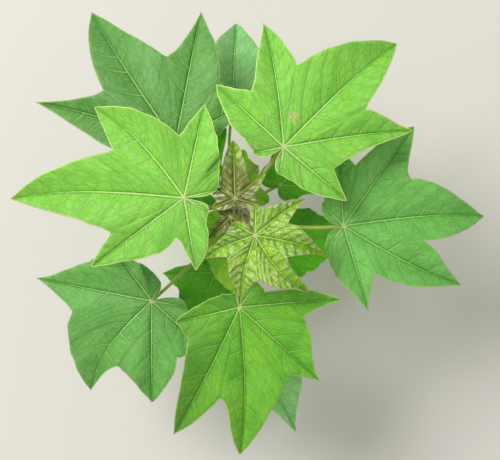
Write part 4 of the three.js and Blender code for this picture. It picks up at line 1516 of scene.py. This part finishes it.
def side_steps(leaf, shape):
    """Number of rays on each side of a lobe: about half as many on a small leaf."""
    return shape.side_rays if leaf_length(leaf) > SMALL_LENGTH else shape.side_rays // 2 + 2


def blade_mesh(blade, shape):
    """A closed thin sheet over the blade's rule, with the maps that its veins are drawn from."""
    leaf = blade.leaf
    size = min(1.0, leaf_length(leaf) / THICK_LENGTH)
    rings = max(LEAST_RINGS, int(shape.blade_rings * (YOUNG_RINGS if blade.young else size)))
    inner = np.linspace(*RING_SPAN, rings - 1 - len(EDGE_RINGS))
    shares = np.concatenate([[FIRST_RING], inner, EDGE_RINGS])
    half = shape.blade_thickness / MM / 2 * (0.6 + 0.4 * size)
    thin = np.clip((shares - THIN_FROM) / THIN_WIDTH, 0, 1)
    thick = half * np.sqrt(np.clip(1 - thin**2, 0, 1)) * (1 + HUB_EXTRA * np.exp(-shares * HUB_FALL))
    count = len(blade.angles)
    x = shares[:, None] * blade.rim[None, :, 0]
    y = shares[:, None] * blade.rim[None, :, 1]
    rim = blade.rim_distance(x, y)
    rim[-1] = 0
    zero = np.zeros(1)
    top, low = blade.skins(x, y, [thick[:, None], -thick[:, None]], rim)
    top, low = top.reshape(-1, 3), low[:-1].reshape(-1, 3)
    caps = [blade.place(zero, zero, side * half * CAP_EXTRA)[0] for side in (1, -1)]
    points = np.concatenate([[caps[0]], top, [caps[1]], low])
    rows, base = len(shares), 1 + len(top)
    grid_top = 1 + np.arange(rows * count).reshape(rows, count)
    own_low = base + 1 + np.arange((rows - 1) * count).reshape(rows - 1, count)
    grid_low = np.concatenate([own_low, grid_top[-1:]])
    after = (np.arange(count) + 1) % count

    def quads(grid, flip):
        """Corners of the faces of a grid, in the other order where flip is set."""
        a, b = grid[:-1, :], grid[1:, :]
        c, d = grid[1:, :][:, after], grid[:-1, :][:, after]
        corners = (a, d, c, b) if flip else (a, b, c, d)
        return np.stack(corners, axis=-1).reshape(-1, 4)

    first_top, first_low = grid_top[0], grid_low[0]
    fan_top = np.stack([np.zeros(count, int), first_top, first_top[after]], axis=-1)
    fan_low = np.stack([np.full(count, base), first_low[after], first_low], axis=-1)
    parts = (quads(grid_top, False), fan_top, quads(grid_low, True), fan_low)
    faces = [face for part in parts for face in part.tolist()]
    mesh = bpy.data.meshes.new("leaf_blade_" + leaf["name"])
    mesh.from_pydata(points.tolist(), [], faces)
    mesh.shade_smooth()
    side_count = rows * count
    mesh.polygons.foreach_set("material_index", [0] * side_count + [1] * side_count)
    if "vein_bows" in leaf:
        rim = blade.rim_distance(*blade.bend(x, y))
        rim[-1] = 0
    add_maps(mesh, blade, x, y, rim, after)
    mesh.validate()
    return mesh


def add_maps(mesh, blade, x, y, rim, after):
    """Maps for a blade's two sides, in the order of its faces. A column of them is on one half of a lobe."""
    rows, count = x.shape
    column = np.arange(count)
    lobe_of = np.minimum(column // (2 * blade.steps), len(blade.lobes) - 1)
    side_of = np.where(column % (2 * blade.steps) < blade.steps, -1, 1)
    side_of[-1] = 1

    def corner(grid, ring_shift, next_ray):
        """A grid's values at one corner of each of its faces."""
        turned = grid[:, after] if next_ray else grid
        return turned[ring_shift : rows - 1 + ring_shift]

    def fields(cx, cy, cr):
        """Every map at places of the blade, a row for each ring and a column for each ray."""
        maps = {name: np.zeros((*cx.shape, 2)) for name in MAPS}
        for lobe in range(len(blade.lobes)):
            for side in (-1, 1):
                here = (lobe_of == lobe) & (side_of == side)
                along, off = blade.lobe_place(lobe, cx[:, here], cy[:, here])
                number, gap = blade.vein_place(lobe, side, along, off)
                if "vein_bows" in blade.leaf:
                    off = side * blade.rib_distance(lobe, *blade.bend(cx[:, here], cy[:, here]))
                maps["Lobe"][:, here] = np.stack([along, off], axis=-1) * MM
                maps["Ribs"][:, here] = np.stack([number, gap * MM], axis=-1)
                maps["Rim"][:, here, 1] = along / blade.sizes[lobe]
                maps["Swell"][:, here, 0] = blade.pillow(lobe, side, cx[:, here], cy[:, here])[0]
        maps["Rim"][..., 0] = cr * MM
        maps["Plane"] = np.stack([cx, cy], axis=-1) * MM
        return maps

    order = [(0, False), (1, False), (1, True), (0, True)]
    corners = [fields(*(corner(grid, *where) for grid in (x, y, rim))) for where in order]
    zeros = np.zeros((1, count))
    middle = fields(zeros, zeros, zeros + rim[0].mean())
    fan = [fields(x[:1], y[:1], rim[:1]), fields(x[:1][:, after], y[:1][:, after], rim[:1][:, after])]
    for name in MAPS:
        up = np.stack([c[name] for c in corners], axis=2).reshape(-1, 2)
        down = np.stack([corners[i][name] for i in (0, 3, 2, 1)], axis=2).reshape(-1, 2)
        fan_up = np.stack([middle[name][0], fan[0][name][0], fan[1][name][0]], axis=1).reshape(-1, 2)
        fan_down = np.stack([middle[name][0], fan[1][name][0], fan[0][name][0]], axis=1).reshape(-1, 2)
        layer = mesh.uv_layers.new(name=name)
        values = np.concatenate([up, fan_up, down, fan_down]).astype(np.float32)
        layer.uv.foreach_set("vector", values.ravel())


def vein_paths(blade, shape):
    """Lines of the main and side veins, just under the blade's middle, and their radii, in metres."""
    size = min(1.0, leaf_length(blade.leaf) / GROWN_LENGTH)
    main = shape.main_rib / MM * (0.35 + 0.65 * size)
    side = shape.side_rib / MM * (0.4 + 0.6 * size)
    paths, radii = [], []
    for i, length in enumerate(blade.sizes):
        part = np.linspace(0, RIB_END, max(8, int(length / 3)))
        angle = blade.axes[i]
        strong = main * (0.65 + 0.35 * length / blade.length)
        radius = strong * (1 - 0.9 * part**0.75) + MAIN_RIB_TIP
        x, y = part * length * np.cos(angle), part * length * np.sin(angle)
        paths.append(blade.place(x, y, -MAIN_RIB_DEPTH * radius))
        radii.append(radius * MM)
        for turn, starts in zip((-1, 1), blade.starts[i]):
            for number, start in enumerate(starts[2:-1]):
                if length < SHORT_LOBE and number % 2:
                    continue
                far = np.linspace(0, length * SIDE_RIB_REACH, SIDE_RIB_POINTS)
                along = start * length + blade.lean * far + blade.curve * far**2 / length
                x = along * np.cos(angle) - turn * far * np.sin(angle)
                y = along * np.sin(angle) + turn * far * np.cos(angle)
                way, r = np.arctan2(y, x), np.hypot(x, y)
                inside = (r < RIB_MARGIN * blade.radius_at(way)) & (blade.lobe_at(way) == i)
                end = len(far) if inside.all() else int(np.argmin(inside))
                if end < LEAST_RIB_POINTS:
                    continue
                x, y = x[:end], y[:end]
                share = np.linspace(0, 1, end)
                thick = side * (FIRST_SIDE_RIB if number == 0 else 1)
                radius = thick * (1 - 0.8 * share) * (0.6 + 0.4 * length / blade.length) + SIDE_RIB_TIP
                paths.append(blade.place(x, y, -SIDE_RIB_OFFSET - SIDE_RIB_DEPTH * radius))
                radii.append(radius * MM)
    return paths, radii


def petal_mesh(name, petals, origin):
    """Folded leaflets: each a closed crescent section that narrows to a point."""
    points, faces = [], []
    turns = np.concatenate([np.linspace(*PETAL_OUTER), np.linspace(*PETAL_INNER)])
    scales = [1.0] * PETAL_OUTER[-1] + [PETAL_INSIDE] * PETAL_INNER[-1]
    ring, steps = len(turns), PETAL_STEPS
    for lean, toward, length, radius in petals:
        lean, toward = math.radians(lean), math.radians(toward)
        out = np.array([math.cos(toward), math.sin(toward), 0])
        across = np.array([-out[1], out[0], 0])
        first = len(points)
        for step in range(steps + 1):
            share = step / steps
            swell = np.interp(share, *PETAL_PROFILE)
            up = np.array([0, 0, length * share * math.cos(lean)])
            centre = origin + out * length * share**2 * math.sin(lean) + up
            for turn, scale in zip(turns, scales):
                pleat = 1 + PETAL_PLEAT * math.cos(PETAL_PLEATS * turn) * scale
                reach = radius * swell * scale * pleat
                point = centre + out * reach * math.cos(turn) + across * reach * math.sin(turn)
                points.append(point * MM)
        for step in range(steps):
            for i in range(ring):
                a, b = first + step * ring + i, first + step * ring + (i + 1) % ring
                faces.append((a, b, b + ring, a + ring))
        last = first + steps * ring
        faces.append(tuple(range(first + ring - 1, first - 1, -1)))
        faces.append(tuple(range(last, last + ring)))
    mesh = bpy.data.meshes.new(name)
    mesh.from_pydata([tuple(p) for p in points], [], faces)
    mesh.shade_smooth()
    return mesh


# Steps that the sidebar lists


def settings_in(context):
    """Sizes and colours of the seedling."""
    return context.scene.seedling_shape, context.scene.seedling_colours


class SEEDLING_OT_stem(bpy.types.Operator):
    """Builds the stem with its ridged skin, leaf cushions, pores and scars"""

    bl_idname = "seedling.stem"
    bl_label = "Stem"

    def execute(self, context):
        shape, colours = settings_in(context)
        heights = np.arange(0, STEM_TOP + STEM_LINE_STEP / 2, STEM_LINE_STEP)
        heights = np.unique([*heights, *(height for height, _ in STEM_STATIONS)])
        line, radii = stem_centre(heights) * MM, stem_radius(heights) * MM
        feet = []
        for leaf in LEAVES:
            foot, hub = stem_centre(leaf["node"]), leaf_hub(leaf)
            out = (hub - foot) * (1, 1, 0)
            out = out / np.linalg.norm(out) * stem_radius(leaf["node"])
            feet.append((foot + out + (0, 0, -CUSHION_DEPTH)) * MM)
        for height, toward in SEED_LEAF_SCARS:
            out = np.array([*polar(toward, float(stem_radius(height))), 0.0])
            feet.append((stem_centre(height) + out) * MM)
        feet_mesh = bpy.data.meshes.new("stalk_feet")
        feet_mesh.from_pydata([tuple(f) for f in feet], [], [])
        marks = new_object("stalk_feet", feet_mesh)
        stem = path_object("stem_skin", [line], [radii])
        run_tree(
            stem, group("Stem skin", stem_tree), Step=shape.stem_step, Sides=shape.stem_sides,
            Ridge_depth=shape.ridge_depth, Swell=shape.cushion_swell, Feet=marks,
            Material=stem_material(colours),
        )
        pores = new_object("stem_pores", stem.data.copy())
        run_tree(
            pores, group("Scattered pores", pore_tree), Density=shape.lenticels, Seed=shape.seed,
            Material=plain_skin("Stem pore", colours.lenticel, 0.6),
        )
        bpy.data.objects.remove(marks)
        dress(stem, "stem", "stem")
        dress(pores, "stem", "stem")
        return {"FINISHED"}


class SEEDLING_OT_stalks(bpy.types.Operator):
    """Builds the seventeen leaf stalks along their curves"""

    bl_idname = "seedling.stalks"
    bl_label = "Leaf stalks"

    def execute(self, context):
        shape, colours = settings_in(context)
        skin = stalk_material(colours)
        for leaf in LEAVES:
            points, radii = stalk_path(leaf)
            node = "stalk_" + leaf["name"]
            stalk = path_object("leaf_" + node, [points * MM], [radii * MM])
            run_tree(
                stalk, group("Tapered tubes", tube_tree), Step=shape.stalk_step, Sides=shape.stalk_sides,
                Grain=shape.stalk_grain, Material=skin,
            )
            dress(stalk, "stalk", node)
        return {"FINISHED"}


class SEEDLING_OT_blades(bpy.types.Operator):
    """Builds the seventeen leaf blades as thin closed sheets"""

    bl_idname = "seedling.blades"
    bl_label = "Leaf blades"

    def execute(self, context):
        shape, colours = settings_in(context)
        for leaf in LEAVES:
            node = "blade_" + leaf["name"]
            blade = Blade(leaf, side_steps(leaf, shape))
            piece = new_object("leaf_" + node, blade_mesh(blade, shape))
            for under in (False, True):
                piece.data.materials.append(blade_material(leaf, colours, under))
            dress(piece, blade_slot(leaf), node)
        return {"FINISHED"}


class SEEDLING_OT_veins(bpy.types.Operator):
    """Builds the main and side ribs that run under each blade"""

    bl_idname = "seedling.veins"
    bl_label = "Leaf ribs"

    def execute(self, context):
        shape, colours = settings_in(context)
        for leaf in LEAVES:
            blade = Blade(leaf, side_steps(leaf, shape))
            paths, radii = vein_paths(blade, shape)
            node = "blade_" + leaf["name"]
            ribs = path_object("leaf_ribs_" + leaf["name"], paths, radii)
            run_tree(
                ribs, group("Tapered tubes", tube_tree), Step=shape.rib_step, Sides=shape.rib_sides,
                Grain=0.0, Material=vein_material(leaf, colours),
            )
            dress(ribs, blade_slot(leaf), node)
        return {"FINISHED"}


class SEEDLING_OT_bud(bpy.types.Operator):
    """Builds the folded bud at the tip of the stem, with its down"""

    bl_idname = "seedling.bud"
    bl_label = "Bud"

    def execute(self, context):
        shape, colours = settings_in(context)
        origin = stem_centre(STEM_TOP) + (0, 0, -BUD_SUNK)
        bud = new_object("tip_bud", petal_mesh("tip_bud", BUD_PETALS, origin))
        bud.data.materials.append(plain_skin("Bud skin", colours.bud, 0.45, colours.blush))
        down = new_object("tip_down", bud.data.copy())
        run_tree(
            down, group("Scattered hairs", hair_tree), Density=shape.hairs, Seed=shape.seed + 1,
            Material=plain_skin("Hair", colours.hair, 0.5),
        )
        dress(bud, "young_blade", "shoot_tip")
        dress(down, "young_blade", "shoot_tip")
        return {"FINISHED"}


class SEEDLING_OT_stage(bpy.types.Operator):
    """Sets the camera, the pale floor and the soft light"""

    bl_idname = "seedling.stage"
    bl_label = "Stage"

    def execute(self, context):
        scene, stage = context.scene, context.scene.seedling_stage
        lens = bpy.data.cameras.new("overhead_camera")
        lens.sensor_width = stage.sensor
        lens.lens = stage.focal_length
        camera = bpy.data.objects.new("overhead_camera", lens)
        camera.location = stage.camera_place
        scene.collection.objects.link(camera)
        scene.camera = camera
        side = stage.floor_size / 2
        mesh = bpy.data.meshes.new("floor")
        corners = [(-side, -side, 0), (side, -side, 0), (side, side, 0), (-side, side, 0)]
        mesh.from_pydata(corners, [], [(0, 1, 2, 3)])
        floor = new_object("floor", mesh)
        material, _, shader = new_material("Floor")
        shader.inputs["Base Color"].default_value = rgba(stage.floor)
        shader.inputs["Roughness"].default_value = FLOOR_ROUGHNESS
        floor.data.materials.append(material)
        for (name, place, size), power in zip(LAMPS, (stage.key_power, stage.fill_power)):
            lamp = bpy.data.lights.new(name, "AREA")
            lamp.size = size
            lamp.energy = power
            light = bpy.data.objects.new(name, lamp)
            light.location = place
            way = Vector(LIT_PLACE) - Vector(place)
            light.rotation_euler = way.to_track_quat("-Z", "Y").to_euler()
            scene.collection.objects.link(light)
        world = bpy.data.worlds.new("Sky")
        world.use_nodes = True
        back = next(n for n in world.node_tree.nodes if n.type == "BACKGROUND")
        back.inputs["Color"].default_value = rgba(stage.sky)
        back.inputs["Strength"].default_value = stage.sky_strength
        scene.world = world
        scene.view_settings.view_transform = "Standard"
        return {"FINISHED"}


class SEEDLING_PT_panel(bpy.types.Panel):
    """Settings and steps of the seedling"""

    bl_label = "Seedling"
    bl_idname = "SEEDLING_PT_panel"
    bl_space_type = "VIEW_3D"
    bl_region_type = "UI"
    bl_category = "Seedling"

    def draw(self, context):
        layout, scene = self.layout, context.scene
        for operator in OPERATORS:
            layout.operator(operator.bl_idname)
        for settings in (scene.seedling_shape, scene.seedling_colours, scene.seedling_stage):
            box = layout.box()
            for name in settings.__annotations__:
                box.prop(settings, name)


OPERATORS = (
    SEEDLING_OT_stem, SEEDLING_OT_stalks, SEEDLING_OT_blades, SEEDLING_OT_veins, SEEDLING_OT_bud,
    SEEDLING_OT_stage,
)
CLASSES = (SeedlingShape, SeedlingColours, SeedlingStage, *OPERATORS, SEEDLING_PT_panel)


def register():
    for item in CLASSES:
        bpy.utils.register_class(item)
    bpy.types.Scene.seedling_shape = PointerProperty(type=SeedlingShape)
    bpy.types.Scene.seedling_colours = PointerProperty(type=SeedlingColours)
    bpy.types.Scene.seedling_stage = PointerProperty(type=SeedlingStage)


def unregister():
    del bpy.types.Scene.seedling_stage
    del bpy.types.Scene.seedling_colours
    del bpy.types.Scene.seedling_shape
    for item in reversed(CLASSES):
        bpy.utils.unregister_class(item)


def main():
    register()
    bpy.ops.seedling.stem()
    bpy.ops.seedling.stalks()
    bpy.ops.seedling.blades()
    bpy.ops.seedling.veins()
    bpy.ops.seedling.bud()
    bpy.ops.seedling.stage()
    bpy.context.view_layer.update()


if __name__ == "__main__":
    main()
